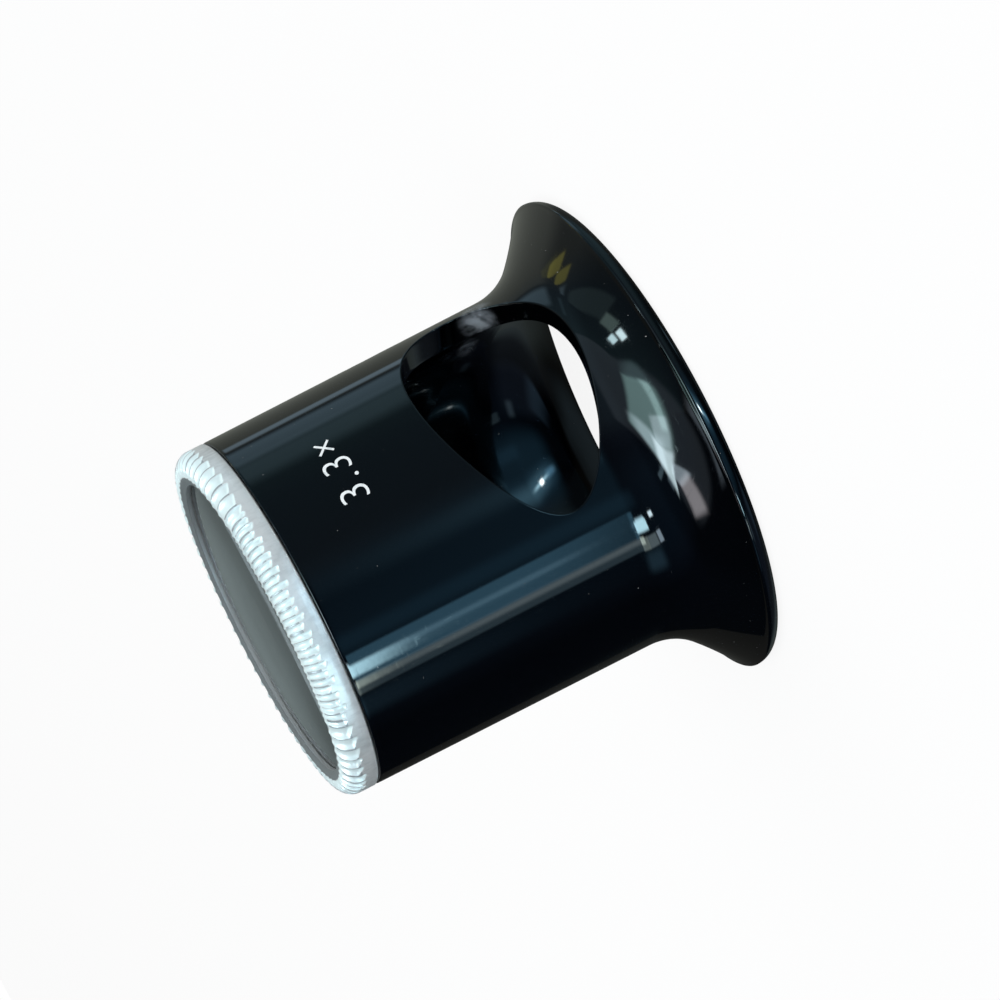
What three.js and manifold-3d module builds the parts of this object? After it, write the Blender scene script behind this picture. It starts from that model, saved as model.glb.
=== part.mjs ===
// Watchmaker's eye loupe: a black moulded housing with a flared eye cup and a side window,
// a biconvex lens, and a knurled aluminium ring that screws into the barrel and holds the lens.
// Millimetres, +Z up. The loupe stands on its eye rim: z = 0 is the rim, and the optical axis
// is the Z axis, with the lens on top. The side window faces -Y.

import * as THREE from 'three';
import { mergeVertices } from 'three/addons/utils/BufferGeometryUtils.js';
import Module from 'manifold-3d';

// Housing: barrel
const HOUSING_HEIGHT = 30.9;
const BARREL_RADIUS = 14.1;
const BARREL_DRAFT = THREE.MathUtils.degToRad(0.72);
const BARREL_WALL = 2;
const BARREL_EDGE_CHAMFER = 0.15;

// Housing: flared eye cup
const THROAT_RADIUS = 5.6;
const SKIRT_RADIUS = 28;
const SKIRT_END_ANGLE = THREE.MathUtils.degToRad(54.5);
const CREASE_RADIUS = 19.25;
const CREASE_HEIGHT = 1.25;
const RIM_RADIUS = 19.42;
const RIM_ROUND = 1.2;
const RIM_WALL = 1.8;

// Housing: lens seat and threaded mouth
const MOUTH_WALL = 0.95;
const MOUTH_CHAMFER = 0.3;
const SEAT_LEDGE = 0.5;

// Housing: side window, an egg shape seen along Y, taller towards +X by the taper share
const WINDOW_HALF_WIDTH = 9.81;
const WINDOW_HALF_HEIGHT = 6.16;
const WINDOW_TAPER_SHARE = 0.16;
const WINDOW_HEIGHT = 11.23;
const WINDOW_DEPTH = 8;

// Lens
const LENS_SURFACE_RADIUS = 78.5;
const LENS_THICKNESS = 5.6;
const LENS_CLEARANCE = 0.15;
const SEAT_CLEARANCE = 0.25;

// Lens ring
const RING_PROTRUSION = 2.6;
const RING_CORNER = 1.25;
const RING_EDGE_CHAMFER = 0.12;
const SEAM = 0.1;
const SKIRT_WALL = 0.55;
const LIP_REACH = 0.4;
const LIP_THICKNESS = 0.25;
const LIP_DROP = 0.25;
const CREST_WIDTH = 0.3;
const THREAD_CLEARANCE = 0.25;
const SKIRT_END_CLEARANCE = 0.3;
const SKIRT_CHAMFER = 0.2;
const RELIEF_DEPTH = 0.18;
const RELIEF_WIDTH = 0.4;

// Knurl: straight grooves rolled over the ring's front corner
const KNURL_TEETH = 70;
const GROOVE_DEPTH = 0.4;
const GROOVE_HALF_ANGLE = THREE.MathUtils.degToRad(42);
const GROOVE_REACH = 0.8;

// One overrun serves every cut
const OVERRUN = 1;

// Fineness of the facets
const TURN_STEPS = 72;
const THROAT_STEPS = 7;
const SKIRT_STEPS = 3;
const RIM_STEPS = 4;
const LENS_STEPS = 5;
const CORNER_STEPS = 5;
const GROOVE_STEPS = 3;
const WINDOW_STEPS = 56;

// Places that follow from the sizes above
const mouthRadius = BARREL_RADIUS - MOUTH_WALL;
const ringSkirtRadius = mouthRadius - THREAD_CLEARANCE;
const ringBore = ringSkirtRadius - SKIRT_WALL;
const lensRadius = ringBore - LENS_CLEARANCE;
const lipRadius = lensRadius - LIP_REACH;
const seatRadius = lensRadius - SEAT_LEDGE;
const lensSag = (radius) =>
  LENS_SURFACE_RADIUS - Math.sqrt(LENS_SURFACE_RADIUS ** 2 - radius ** 2);
const ringCrest = HOUSING_HEIGHT + RING_PROTRUSION;
const lipTop = ringCrest - LIP_DROP;
const lensFrontApex = lipTop - LIP_THICKNESS - LENS_CLEARANCE + lensSag(lipRadius);
const lensBackApex = lensFrontApex - LENS_THICKNESS;
const lensBackEdge = lensBackApex + lensSag(lensRadius);
const seatHeight = lensBackEdge - SEAT_CLEARANCE;
const skirtEnd = seatHeight + SKIRT_END_CLEARANCE;

const wasm = await Module();
wasm.setup();

// Points of an arc in an outline, from one angle to another, both ends included
function arcPoints(centreX, centreY, radius, fromAngle, toAngle, steps) {
  const points = [];
  for (let i = 0; i <= steps; i++) {
    const angle = fromAngle + ((toAngle - fromAngle) * i) / steps;
    points.push(
      new THREE.Vector2(
        centreX + radius * Math.cos(angle),
        centreY + radius * Math.sin(angle)
      )
    );
  }
  return points;
}

// A solid of revolution round Z from an outline of (radius, height) points
function turned(outline, steps, closed) {
  const points = closed ? [...outline, outline[0]] : outline;
  const geometry = new THREE.LatheGeometry(points, steps);
  geometry.rotateX(Math.PI / 2);
  return toSolid(geometry);
}

// A closed mesh as a manifold solid, with its faces turned to point outwards
function toSolid(geometry) {
  const bare = geometry.clone();
  bare.deleteAttribute('normal');
  bare.deleteAttribute('uv');
  const merged = mergeVertices(bare);
  const triVerts = withoutFlatTriangles(merged.index.array);
  const vertProperties = new Float32Array(merged.attributes.position.array);
  if (signedVolume(vertProperties, triVerts) < 0) {
    triVerts.reverse();
  }
  return new wasm.Manifold(new wasm.Mesh({ numProp: 3, vertProperties, triVerts }));
}

// A lathe's triangles at the axis have two corners in one point: they are left out
function withoutFlatTriangles(index) {
  const kept = [];
  for (let i = 0; i < index.length; i += 3) {
    const [a, b, c] = [index[i], index[i + 1], index[i + 2]];
    if (a !== b && b !== c && c !== a) {
      kept.push(a, b, c);
    }
  }
  return new Uint32Array(kept);
}

function signedVolume(positions, triangles) {
  const corner = (i) => new THREE.Vector3().fromArray(positions, 3 * triangles[i]);
  let volume = 0;
  for (let i = 0; i < triangles.length; i += 3) {
    volume += corner(i).dot(corner(i + 1).cross(corner(i + 2))) / 6;
  }
  return volume;
}

// A named mesh from a solid
function piece(name, solid, material) {
  const { vertProperties, triVerts, numProp } = solid.getMesh();
  const positions = new Float32Array((vertProperties.length / numProp) * 3);
  for (let i = 0; i < positions.length / 3; i++) {
    positions.set(vertProperties.subarray(i * numProp, i * numProp + 3), 3 * i);
  }
  const geometry = new THREE.BufferGeometry();
  geometry.setAttribute('position', new THREE.BufferAttribute(positions, 3));
  geometry.setIndex(new THREE.BufferAttribute(new Uint32Array(triVerts), 1));
  geometry.computeVertexNormals();
  const mesh = new THREE.Mesh(geometry, material);
  mesh.name = name;
  return mesh;
}

// A closed solid through a row of cross-sections that all have the same number of corners
function loft(sections) {
  const sides = sections[0].length;
  const positions = sections.flat().flatMap((point) => point.toArray());
  const index = [];
  for (let s = 0; s + 1 < sections.length; s++) {
    for (let k = 0; k < sides; k++) {
      const a = s * sides + k;
      const b = s * sides + ((k + 1) % sides);
      index.push(a, b, b + sides, a, b + sides, a + sides);
    }
  }
  const last = (sections.length - 1) * sides;
  for (let k = 1; k + 1 < sides; k++) {
    index.push(0, k + 1, k, last, last + k, last + k + 1);
  }
  const geometry = new THREE.BufferGeometry();
  geometry.setAttribute('position', new THREE.Float32BufferAttribute(positions, 3));
  geometry.setIndex(index);
  return toSolid(geometry);
}

// The angle at which the throat arc hands over to the skirt arc, and the height where the
// barrel's straight side ends, so that the flare meets both the barrel and the crease
function flareJoin() {
  const bendStep = SKIRT_RADIUS - THROAT_RADIUS;
  const fallWithoutJoin =
    HOUSING_HEIGHT -
    CREASE_HEIGHT +
    THROAT_RADIUS * Math.sin(BARREL_DRAFT) -
    SKIRT_RADIUS * Math.sin(SKIRT_END_ANGLE);
  const riseWithoutJoin =
    CREASE_RADIUS -
    BARREL_RADIUS -
    THROAT_RADIUS * Math.cos(BARREL_DRAFT) +
    SKIRT_RADIUS * Math.cos(SKIRT_END_ANGLE);
  const rise = riseWithoutJoin - fallWithoutJoin * Math.tan(BARREL_DRAFT);
  const joinAngle = BARREL_DRAFT + Math.acos((rise * Math.cos(BARREL_DRAFT)) / bendStep);
  const neckHeight = HOUSING_HEIGHT - fallWithoutJoin - bendStep * Math.sin(joinAngle);
  return { joinAngle, neckHeight };
}

function barrelRadiusAt(height) {
  return BARREL_RADIUS + (HOUSING_HEIGHT - height) * Math.tan(BARREL_DRAFT);
}

// Points of the flare from the neck down to the crease, each with the angle of its side from
// the axis and the wall that lies behind it
function flarePoints() {
  const { joinAngle, neckHeight } = flareJoin();
  const points = [];
  let radius = barrelRadiusAt(neckHeight);
  let height = neckHeight;
  const sweep = (bend, fromAngle, toAngle, steps) => {
    for (let i = 1; i <= steps; i++) {
      const before = fromAngle + ((toAngle - fromAngle) * (i - 1)) / steps;
      const angle = fromAngle + ((toAngle - fromAngle) * i) / steps;
      radius += bend * (Math.cos(before) - Math.cos(angle));
      height -= bend * (Math.sin(angle) - Math.sin(before));
      points.push({ radius, height, angle });
    }
  };
  points.push({ radius, height, angle: BARREL_DRAFT });
  sweep(THROAT_RADIUS, BARREL_DRAFT, joinAngle, THROAT_STEPS);
  sweep(SKIRT_RADIUS, joinAngle, SKIRT_END_ANGLE, SKIRT_STEPS);
  const turn = SKIRT_END_ANGLE - BARREL_DRAFT;
  for (const point of points) {
    const share = (point.angle - BARREL_DRAFT) / turn;
    point.wall = BARREL_WALL + (RIM_WALL - BARREL_WALL) * share;
  }
  return points;
}

// The housing's outline: down the outside from the barrel's front edge, round the rim, up the
// inside to the lens seat and out to the threaded mouth
function housingOutline() {
  const flare = flarePoints();
  const outside = flare.map((p) => new THREE.Vector2(p.radius, p.height));
  const inside = flare
    .map(
      (p) =>
        new THREE.Vector2(
          p.radius - p.wall * Math.cos(p.angle),
          p.height - p.wall * Math.sin(p.angle)
        )
    )
    .reverse();
  const [last, before] = inside;
  const slope = (before.x - last.x) / (before.y - last.y);
  const innerRim = new THREE.Vector2(last.x - slope * last.y, 0);
  return [
    new THREE.Vector2(BARREL_RADIUS - BARREL_EDGE_CHAMFER, HOUSING_HEIGHT),
    new THREE.Vector2(
      barrelRadiusAt(HOUSING_HEIGHT - BARREL_EDGE_CHAMFER),
      HOUSING_HEIGHT - BARREL_EDGE_CHAMFER
    ),
    ...outside,
    ...arcPoints(RIM_RADIUS - RIM_ROUND, RIM_ROUND, RIM_ROUND, 0, -Math.PI / 2, RIM_STEPS),
    innerRim,
    ...inside.filter((point) => point.y > 0),
    new THREE.Vector2(seatRadius, seatHeight),
    new THREE.Vector2(mouthRadius, seatHeight),
    new THREE.Vector2(mouthRadius, HOUSING_HEIGHT - MOUTH_CHAMFER),
    new THREE.Vector2(mouthRadius + MOUTH_CHAMFER, HOUSING_HEIGHT),
  ];
}

// A plug of the window's outline that reaches through the front wall only
function windowCutter() {
  const points = [];
  for (let i = 0; i < WINDOW_STEPS; i++) {
    const angle = (2 * Math.PI * i) / WINDOW_STEPS;
    const halfHeight = WINDOW_HALF_HEIGHT * (1 + WINDOW_TAPER_SHARE * Math.cos(angle));
    points.push(
      new THREE.Vector2(WINDOW_HALF_WIDTH * Math.cos(angle), halfHeight * Math.sin(angle))
    );
  }
  const inner = BARREL_RADIUS - WINDOW_DEPTH;
  const geometry = new THREE.ExtrudeGeometry(new THREE.Shape(points), {
    depth: RIM_RADIUS + OVERRUN - inner,
    bevelEnabled: false,
  });
  geometry.rotateX(Math.PI / 2);
  geometry.translate(0, -inner, WINDOW_HEIGHT);
  return toSolid(geometry);
}

function lensOutline() {
  const edgeAngle = Math.asin(lensRadius / LENS_SURFACE_RADIUS);
  const back = arcPoints(
    0,
    lensBackApex + LENS_SURFACE_RADIUS,
    LENS_SURFACE_RADIUS,
    -Math.PI / 2,
    -Math.PI / 2 + edgeAngle,
    LENS_STEPS
  );
  const front = arcPoints(
    0,
    lensFrontApex - LENS_SURFACE_RADIUS,
    LENS_SURFACE_RADIUS,
    Math.PI / 2 - edgeAngle,
    Math.PI / 2,
    LENS_STEPS
  );
  back[0].x = 0;
  front[LENS_STEPS].x = 0;
  return [...back, ...front];
}

// The ring's outline: up the threaded skirt, out along the shoulder, up the smooth band, over
// the rounded corner to the lip, and down the bore that holds the lens
function ringOutline() {
  const shoulder = HOUSING_HEIGHT + SEAM;
  const bandRadius = BARREL_RADIUS;
  const reliefRadius = ringSkirtRadius - RELIEF_DEPTH;
  const crestRadius = bandRadius - RING_CORNER;
  const lipUnder = lipTop - LIP_THICKNESS;
  const boreTop = lipUnder - (lensSag(ringBore) - lensSag(lipRadius));
  return [
    new THREE.Vector2(ringBore, skirtEnd),
    new THREE.Vector2(ringSkirtRadius - SKIRT_CHAMFER, skirtEnd),
    new THREE.Vector2(ringSkirtRadius, skirtEnd + SKIRT_CHAMFER),
    new THREE.Vector2(ringSkirtRadius, shoulder - RELIEF_WIDTH),
    new THREE.Vector2(reliefRadius, shoulder - RELIEF_WIDTH),
    new THREE.Vector2(reliefRadius, shoulder),
    new THREE.Vector2(bandRadius - RING_EDGE_CHAMFER, shoulder),
    new THREE.Vector2(bandRadius, shoulder + RING_EDGE_CHAMFER),
    ...arcPoints(crestRadius, ringCrest - RING_CORNER, RING_CORNER, 0, Math.PI / 2, CORNER_STEPS),
    new THREE.Vector2(crestRadius - CREST_WIDTH, ringCrest),
    new THREE.Vector2(lipRadius, lipTop),
    new THREE.Vector2(lipRadius, lipUnder),
    new THREE.Vector2(ringBore, boreTop),
  ];
}

// One knurl groove: a V section carried along a shallow curve under the rounded corner, deepest
// in the middle and running out at both ends
function grooveCutter(turn) {
  const centre = new THREE.Vector2(BARREL_RADIUS - RING_CORNER, ringCrest - RING_CORNER);
  const outwards = new THREE.Vector2(Math.SQRT1_2, Math.SQRT1_2);
  const start = new THREE.Vector2(BARREL_RADIUS, centre.y);
  const end = new THREE.Vector2(centre.x - CREST_WIDTH, ringCrest);
  const deepest = centre.clone().addScaledVector(outwards, RING_CORNER - GROOVE_DEPTH);
  const halfWidth = GROOVE_REACH * Math.tan(GROOVE_HALF_ANGLE);
  const root = new THREE.QuadraticBezierCurve(
    start,
    deepest.clone().multiplyScalar(2).addScaledVector(start.clone().add(end), -0.5),
    end
  );
  const overrun = (from, to) =>
    to.clone().addScaledVector(to.clone().sub(from).normalize(), OVERRUN);
  const along = root.getPoints(GROOVE_STEPS);
  along.unshift(overrun(along[1], along[0]));
  along.push(overrun(along.at(-2), along.at(-1)));
  const sections = along.map((point) => {
    const outer = point.clone().addScaledVector(outwards, GROOVE_REACH);
    return [
      new THREE.Vector3(point.x, 0, point.y),
      new THREE.Vector3(outer.x, halfWidth, outer.y),
      new THREE.Vector3(outer.x, -halfWidth, outer.y),
    ].map((corner) => corner.applyAxisAngle(new THREE.Vector3(0, 0, 1), turn));
  });
  return loft(sections);
}

function makeHousing(material) {
  const body = turned(housingOutline(), TURN_STEPS, true);
  return piece('housing', body.subtract(windowCutter()), material);
}

function makeLens(material) {
  return piece('lens', turned(lensOutline(), TURN_STEPS, false), material);
}

function makeLensRing(material) {
  let ring = turned(ringOutline(), KNURL_TEETH, true);
  for (let tooth = 0; tooth < KNURL_TEETH; tooth++) {
    ring = ring.subtract(grooveCutter((2 * Math.PI * (tooth + 1 / 2)) / KNURL_TEETH));
  }
  return piece('lens_ring', ring, material);
}

const blackPlastic = new THREE.MeshStandardMaterial({
  color: 0x0c0f12,
  roughness: 0.12,
  metalness: 0,
});
const lensGlass = new THREE.MeshStandardMaterial({
  color: 0xdfeaea,
  roughness: 0.02,
  metalness: 0,
  transparent: true,
  opacity: 0.35,
});
const satinAluminium = new THREE.MeshStandardMaterial({
  color: 0xd4d8da,
  roughness: 0.32,
  metalness: 1,
});

const loupe = new THREE.Group();
loupe.add(makeHousing(blackPlastic), makeLens(lensGlass), makeLensRing(satinAluminium));

export default loupe;
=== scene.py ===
"""The looks of a watchmaker's eye loupe: a black moulded housing with a flared eye cup and a side
window, a biconvex lens, and a knurled aluminium ring that screws over the lens.

Every length in a class is a real size in millimetres and turns into metres as it enters a mesh. The
loupe stands on its eye rim, +Z is the optical axis, and the side window faces -Y. An azimuth is
measured round Z from -Y towards +X.
"""

import logging
import math
from dataclasses import dataclass, field
from enum import Enum
from typing import Any

import bmesh
import bpy
import numpy as np
from mathutils import Matrix, Vector


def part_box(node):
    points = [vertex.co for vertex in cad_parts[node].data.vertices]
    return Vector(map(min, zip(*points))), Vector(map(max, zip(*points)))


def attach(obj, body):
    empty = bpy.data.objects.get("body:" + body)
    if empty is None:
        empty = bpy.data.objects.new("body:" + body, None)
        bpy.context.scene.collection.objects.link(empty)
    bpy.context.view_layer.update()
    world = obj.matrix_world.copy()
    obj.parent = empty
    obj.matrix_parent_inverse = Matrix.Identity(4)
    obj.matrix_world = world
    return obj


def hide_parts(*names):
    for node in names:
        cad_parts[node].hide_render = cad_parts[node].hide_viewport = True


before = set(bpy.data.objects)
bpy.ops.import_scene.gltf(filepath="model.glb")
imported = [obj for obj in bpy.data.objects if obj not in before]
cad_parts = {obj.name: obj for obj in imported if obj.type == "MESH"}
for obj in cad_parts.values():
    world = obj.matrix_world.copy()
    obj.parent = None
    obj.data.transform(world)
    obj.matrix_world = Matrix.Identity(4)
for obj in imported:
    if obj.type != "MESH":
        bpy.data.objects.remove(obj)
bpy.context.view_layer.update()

LOG = logging.getLogger("eye_loupe")
MM = 0.001
WATTS_PER_RADIANCE = 4.0
OFF_THE_CORNER = -9.0
NOISE_MIDDLE = 0.5
Triple = tuple[float, float, float]
Colour = Triple


class Body(str, Enum):
    """The moving bodies of the loupe."""

    HOUSING = "housing"
    LENS = "lens"
    RING = "lens_ring"


class Slot(str, Enum):
    """The material slots of the record."""

    PLASTIC = "housing_plastic"
    GLASS = "lens_glass"
    ALUMINIUM = "ring_aluminium"


class Mark(float, Enum):
    """What the ring's mesh says of its surface, corner by corner."""

    BRIGHT = 1.0
    BAND = 0.0
    RIDGE = -1.0
    LIP_SLOPE = -2.0
    LIP_WALL = -3.0


# Shader maths


class Term:
    """A number on a node's socket that adds, multiplies and compares as Python numbers do."""

    def __init__(self, tree: bpy.types.NodeTree, socket: bpy.types.NodeSocket) -> None:
        """Wraps a socket.

        Args:
            tree: The node tree that new Math nodes go into.
            socket: The output that holds the number.
        """
        self.tree = tree
        self.socket = socket

    def math(self, operation: str, *others: "Term | float") -> "Term":
        """Adds one Math node that starts with this term.

        Args:
            operation: The Math node's operation.
            others: The operands that follow this one.

        Returns:
            The result as a new term.
        """
        return Term.join(self.tree, operation, self, *others)

    @staticmethod
    def join(tree: bpy.types.NodeTree, operation: str, *operands: "Term | float") -> "Term":
        """Adds a Math node for any mix of terms and numbers.

        Args:
            tree: The node tree that the node goes into.
            operation: The Math node's operation.
            operands: Terms or plain numbers, in order.

        Returns:
            The node's result.
        """
        node = tree.nodes.new("ShaderNodeMath")
        node.operation = operation
        for socket, operand in zip(node.inputs, operands):
            if isinstance(operand, Term):
                tree.links.new(operand.socket, socket)
            else:
                socket.default_value = operand
        return Term(tree, node.outputs[0])

    def __add__(self, other: "Term | float") -> "Term":
        """Sum."""
        return self.math("ADD", other)

    def __radd__(self, other: float) -> "Term":
        """Sum with the number first."""
        return self.math("ADD", other)

    def __sub__(self, other: "Term | float") -> "Term":
        """Difference."""
        return self.math("SUBTRACT", other)

    def __rsub__(self, other: float) -> "Term":
        """Difference with the number first."""
        return Term.join(self.tree, "SUBTRACT", other, self)

    def __mul__(self, other: "Term | float") -> "Term":
        """Product."""
        return self.math("MULTIPLY", other)

    def __rmul__(self, other: float) -> "Term":
        """Product with the number first."""
        return self.math("MULTIPLY", other)

    def __truediv__(self, other: "Term | float") -> "Term":
        """Quotient."""
        return self.math("DIVIDE", other)

    def __pow__(self, other: "Term | float") -> "Term":
        """Power."""
        return self.math("POWER", other)

    def above(self, edge: "Term | float") -> "Term":
        """1 where this is greater than the edge, else 0."""
        return self.math("GREATER_THAN", edge)

    def rise(self, low: float, high: float) -> "Term":
        """Runs smoothly from 0 at low to 1 at high.

        Args:
            low: The value at which the result starts to rise.
            high: The value at which it reaches 1.

        Returns:
            The smooth step as a new term.
        """
        node = self.tree.nodes.new("ShaderNodeMapRange")
        node.interpolation_type = "SMOOTHSTEP"
        self.tree.links.new(self.socket, node.inputs["Value"])
        node.inputs["From Min"].default_value = low
        node.inputs["From Max"].default_value = high
        return Term(self.tree, node.outputs["Result"])


@dataclass(frozen=True)
class Pattern:
    """A cloudy noise: clouds per millimetre, octaves, density along each axis and turn in degrees.

    The noise runs from about 0.3 to 0.7. Where it has edges, it is read as a smooth step between
    them.
    """

    scale: float
    detail: float = 3.0
    stretch: Triple = (1.0, 1.0, 1.0)
    turn: Triple = (0.0, 0.0, 0.0)
    edges: tuple[float, float] | None = None


@dataclass(frozen=True)
class Spot:
    """A soft spot on a piece: its centre and its reach along each axis, in millimetres.

    It is whole out to a share of its reach.
    """

    centre: Triple
    reach: Triple
    whole: float = 0.15


class Recipe:
    """A node tree under construction, for a material or the world."""

    def __init__(self, owner: bpy.types.Material | bpy.types.World) -> None:
        """Empties the owner's node tree.

        Args:
            owner: The material or world to fill.
        """
        owner.use_nodes = True
        self.owner = owner
        self.tree = owner.node_tree
        self.tree.nodes.clear()

    def node(self, kind: str, settings: dict[str, Any] | None = None,
             sockets: dict[str | int, Any] | None = None) -> bpy.types.Node:
        """Adds any node.

        Args:
            kind: The node's type.
            settings: Its properties, set before its sockets. The key stops takes a ramp's
                list of (place, colour).
            sockets: Values, terms or output sockets for its inputs, by name or number.

        Returns:
            The new node.
        """
        node = self.tree.nodes.new(kind)
        for key, value in (settings or {}).items():
            if key == "stops":
                self._stops(node.color_ramp, value)
            else:
                setattr(node, key, value)
        for key, value in (sockets or {}).items():
            if isinstance(value, Term):
                self.tree.links.new(value.socket, node.inputs[key])
            elif isinstance(value, bpy.types.NodeSocket):
                self.tree.links.new(value, node.inputs[key])
            else:
                node.inputs[key].default_value = value
        return node

    @staticmethod
    def _stops(ramp: bpy.types.ColorRamp, stops: list[tuple[float, Colour]]) -> None:
        """Gives a colour ramp its stops.

        Args:
            ramp: The ramp to fill.
            stops: Places from 0 to 1, each with its colour.
        """
        while len(ramp.elements) < len(stops):
            ramp.elements.new(1.0)
        for element, (place, colour) in zip(ramp.elements, stops):
            element.position = place
            element.color = (*colour, 1.0)

    def term(self, socket: bpy.types.NodeSocket) -> Term:
        """The number on an output socket."""
        return Term(self.tree, socket)

    def place(self) -> bpy.types.NodeSocket:
        """The place on the piece, in metres in the loupe's own frame."""
        return self.node("ShaderNodeTexCoord").outputs["Object"]

    def near(self, place: bpy.types.NodeSocket, spot: Spot) -> Term:
        """1 in the middle of a spot, falling smoothly to 0 at its reach.

        Args:
            place: The place to read it at, in metres.
            spot: The spot.

        Returns:
            The share as a term.
        """
        off = self.node("ShaderNodeVectorMath", {"operation": "SUBTRACT"},
                        {0: place, 1: tuple(part * MM for part in spot.centre)})
        share = self.node("ShaderNodeVectorMath", {"operation": "DIVIDE"},
                          {0: off.outputs[0], 1: tuple(part * MM for part in spot.reach)})
        size = self.node("ShaderNodeVectorMath", {"operation": "LENGTH"}, {0: share.outputs[0]})
        return 1.0 - self.term(size.outputs["Value"]).rise(spot.whole, 1.0)

    def noise(self, place: bpy.types.NodeSocket, pattern: Pattern) -> Term:
        """Reads a cloudy noise.

        Args:
            place: The place to read it at, in metres.
            pattern: The noise.

        Returns:
            Its value.
        """
        mapped = self.node(
            "ShaderNodeMapping",
            sockets={"Vector": place, "Scale": tuple(part / MM for part in pattern.stretch),
                     "Rotation": tuple(math.radians(part) for part in pattern.turn)},
        )
        cloud = self.node(
            "ShaderNodeTexNoise",
            sockets={"Vector": mapped.outputs["Vector"], "Scale": pattern.scale,
                     "Detail": pattern.detail},
        )
        value = self.term(cloud.outputs["Fac"])
        return value.rise(*pattern.edges) if pattern.edges else value

    def mix(self, factor: Term | float, first: Any, second: Any) -> bpy.types.NodeSocket:
        """Mixes two colours.

        Args:
            factor: 0 for the first, 1 for the second.
            first: A colour or a colour socket.
            second: A colour or a colour socket.

        Returns:
            The mixed colour.
        """
        mixer = self.node("ShaderNodeMix", {"data_type": "RGBA"}, {0: factor})
        for socket, value in ((mixer.inputs[6], first), (mixer.inputs[7], second)):
            if isinstance(value, bpy.types.NodeSocket):
                self.tree.links.new(value, socket)
            else:
                socket.default_value = (*value, 1.0)
        return mixer.outputs[2]

    def lit(self, base: bpy.types.NodeSocket, colour: Colour,
            strength: Term) -> bpy.types.NodeSocket:
        """Adds a light of one colour to another: base + colour * strength.

        Args:
            base: The colour that it is added to.
            colour: The light's colour.
            strength: Its strength.

        Returns:
            The sum.
        """
        added = self.node("ShaderNodeVectorMath", {"operation": "MULTIPLY_ADD"},
                          {0: colour, 1: strength, 2: base})
        return added.outputs[0]

    def bump(self, height: Term, depth: float) -> bpy.types.NodeSocket:
        """A normal raised by a height.

        Args:
            height: The relief from 0 to 1.
            depth: What 1 stands for, in millimetres.

        Returns:
            The bumped normal.
        """
        relief = self.node("ShaderNodeBump",
                           sockets={"Height": height, "Distance": depth * MM, "Strength": 1.0})
        return relief.outputs["Normal"]

    def finish_surface(self, shader: bpy.types.Node) -> None:
        """Links a shader to the surface output.

        Args:
            shader: The node whose first output holds the shader.
        """
        world = isinstance(self.owner, bpy.types.World)
        output = "ShaderNodeOutputWorld" if world else "ShaderNodeOutputMaterial"
        self.node(output, sockets={"Surface": shader.outputs[0]})


# Finishes


@dataclass(frozen=True)
class Finish:
    """A finish of the loupe: a material with one Principled shader."""

    name: str

    def sockets(self, recipe: Recipe) -> dict[str, Any]:
        """The shader's inputs.

        Args:
            recipe: The material's node tree.

        Returns:
            Values, terms or output sockets by the input's name.
        """
        raise NotImplementedError

    def make(self) -> bpy.types.Material:
        """Builds the material.

        Returns:
            The finished material.
        """
        material = bpy.data.materials.new(self.name)
        recipe = Recipe(material)
        recipe.finish_surface(
            recipe.node("ShaderNodeBsdfPrincipled", sockets=self.sockets(recipe)))
        return material


@dataclass(frozen=True)
class PolishedPlastic(Finish):
    """Deep black plastic from a polished mould, with fine handling marks and a little dust.

    On the edge of the window a pale patch is painted in, a painted highlight where the cut edge
    catches the light, and the surface is dulled there too.
    """

    name: str = "polished_black_plastic"
    colour: Colour = (0.0004, 0.0006, 0.0009)
    dust_colour: Colour = (0.30, 0.30, 0.29)
    painted_highlight_colour: Colour = (0.40, 0.45, 0.50)
    roughness: float = 0.045
    scratch_roughness: float = 0.05
    dull_roughness: float = 0.4
    index: float = 1.49
    flow: Pattern = Pattern(0.14, 2.0, (1.0, 1.0, 0.45))
    flow_depth: float = 0.006
    grain: Pattern = Pattern(1.6, 2.0)
    grain_depth: float = 0.0004
    marks: Pattern = Pattern(0.9, 4.0, (1.0, 1.0, 7.0), (18.0, 0.0, 0.0), (0.60, 0.72))
    hairs: Pattern = Pattern(0.7, 3.0, (9.0, 1.0, 1.0), (0.0, 24.0, 40.0), (0.62, 0.74))
    dust: Pattern = Pattern(4.6, 1.0, edges=(0.815, 0.835))
    cloud: Pattern = Pattern(0.9, 2.0, edges=(0.20, 0.72))
    highlight_spot: Spot = Spot((9.2, -9.6, 8.8), (1.7, 2.4, 1.8))
    highlight_tail_spot: Spot = Spot((11.8, -3.8, 9.0), (1.0, 2.8, 1.2))
    highlight_tail_share: float = 0.55

    def sockets(self, recipe: Recipe) -> dict[str, Any]:
        """The shader's inputs.

        Args:
            recipe: The material's node tree.

        Returns:
            Values, terms or output sockets by the input's name.
        """
        place = recipe.place()
        flow = recipe.noise(place, self.flow)
        grain = recipe.noise(place, self.grain)
        scuff = recipe.noise(place, self.marks) + recipe.noise(place, self.hairs)
        dust = recipe.noise(place, self.dust)
        # The pale patch on the window's cut edge and its tail are a painted highlight.
        smear = recipe.near(place, self.highlight_tail_spot) * self.highlight_tail_share
        painted_highlight = (recipe.near(place, self.highlight_spot) + smear) * recipe.noise(place, self.cloud)
        height = flow * (self.flow_depth / self.grain_depth) + grain
        colour = recipe.mix(dust, self.colour, self.dust_colour)
        return {
            "Base Color": recipe.mix(painted_highlight, colour, self.painted_highlight_colour),
            "Roughness": (self.roughness + scuff * self.scratch_roughness
                          + (dust + painted_highlight) * self.dull_roughness),
            "IOR": self.index,
            "Normal": recipe.bump(height, self.grain_depth),
        }


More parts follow.
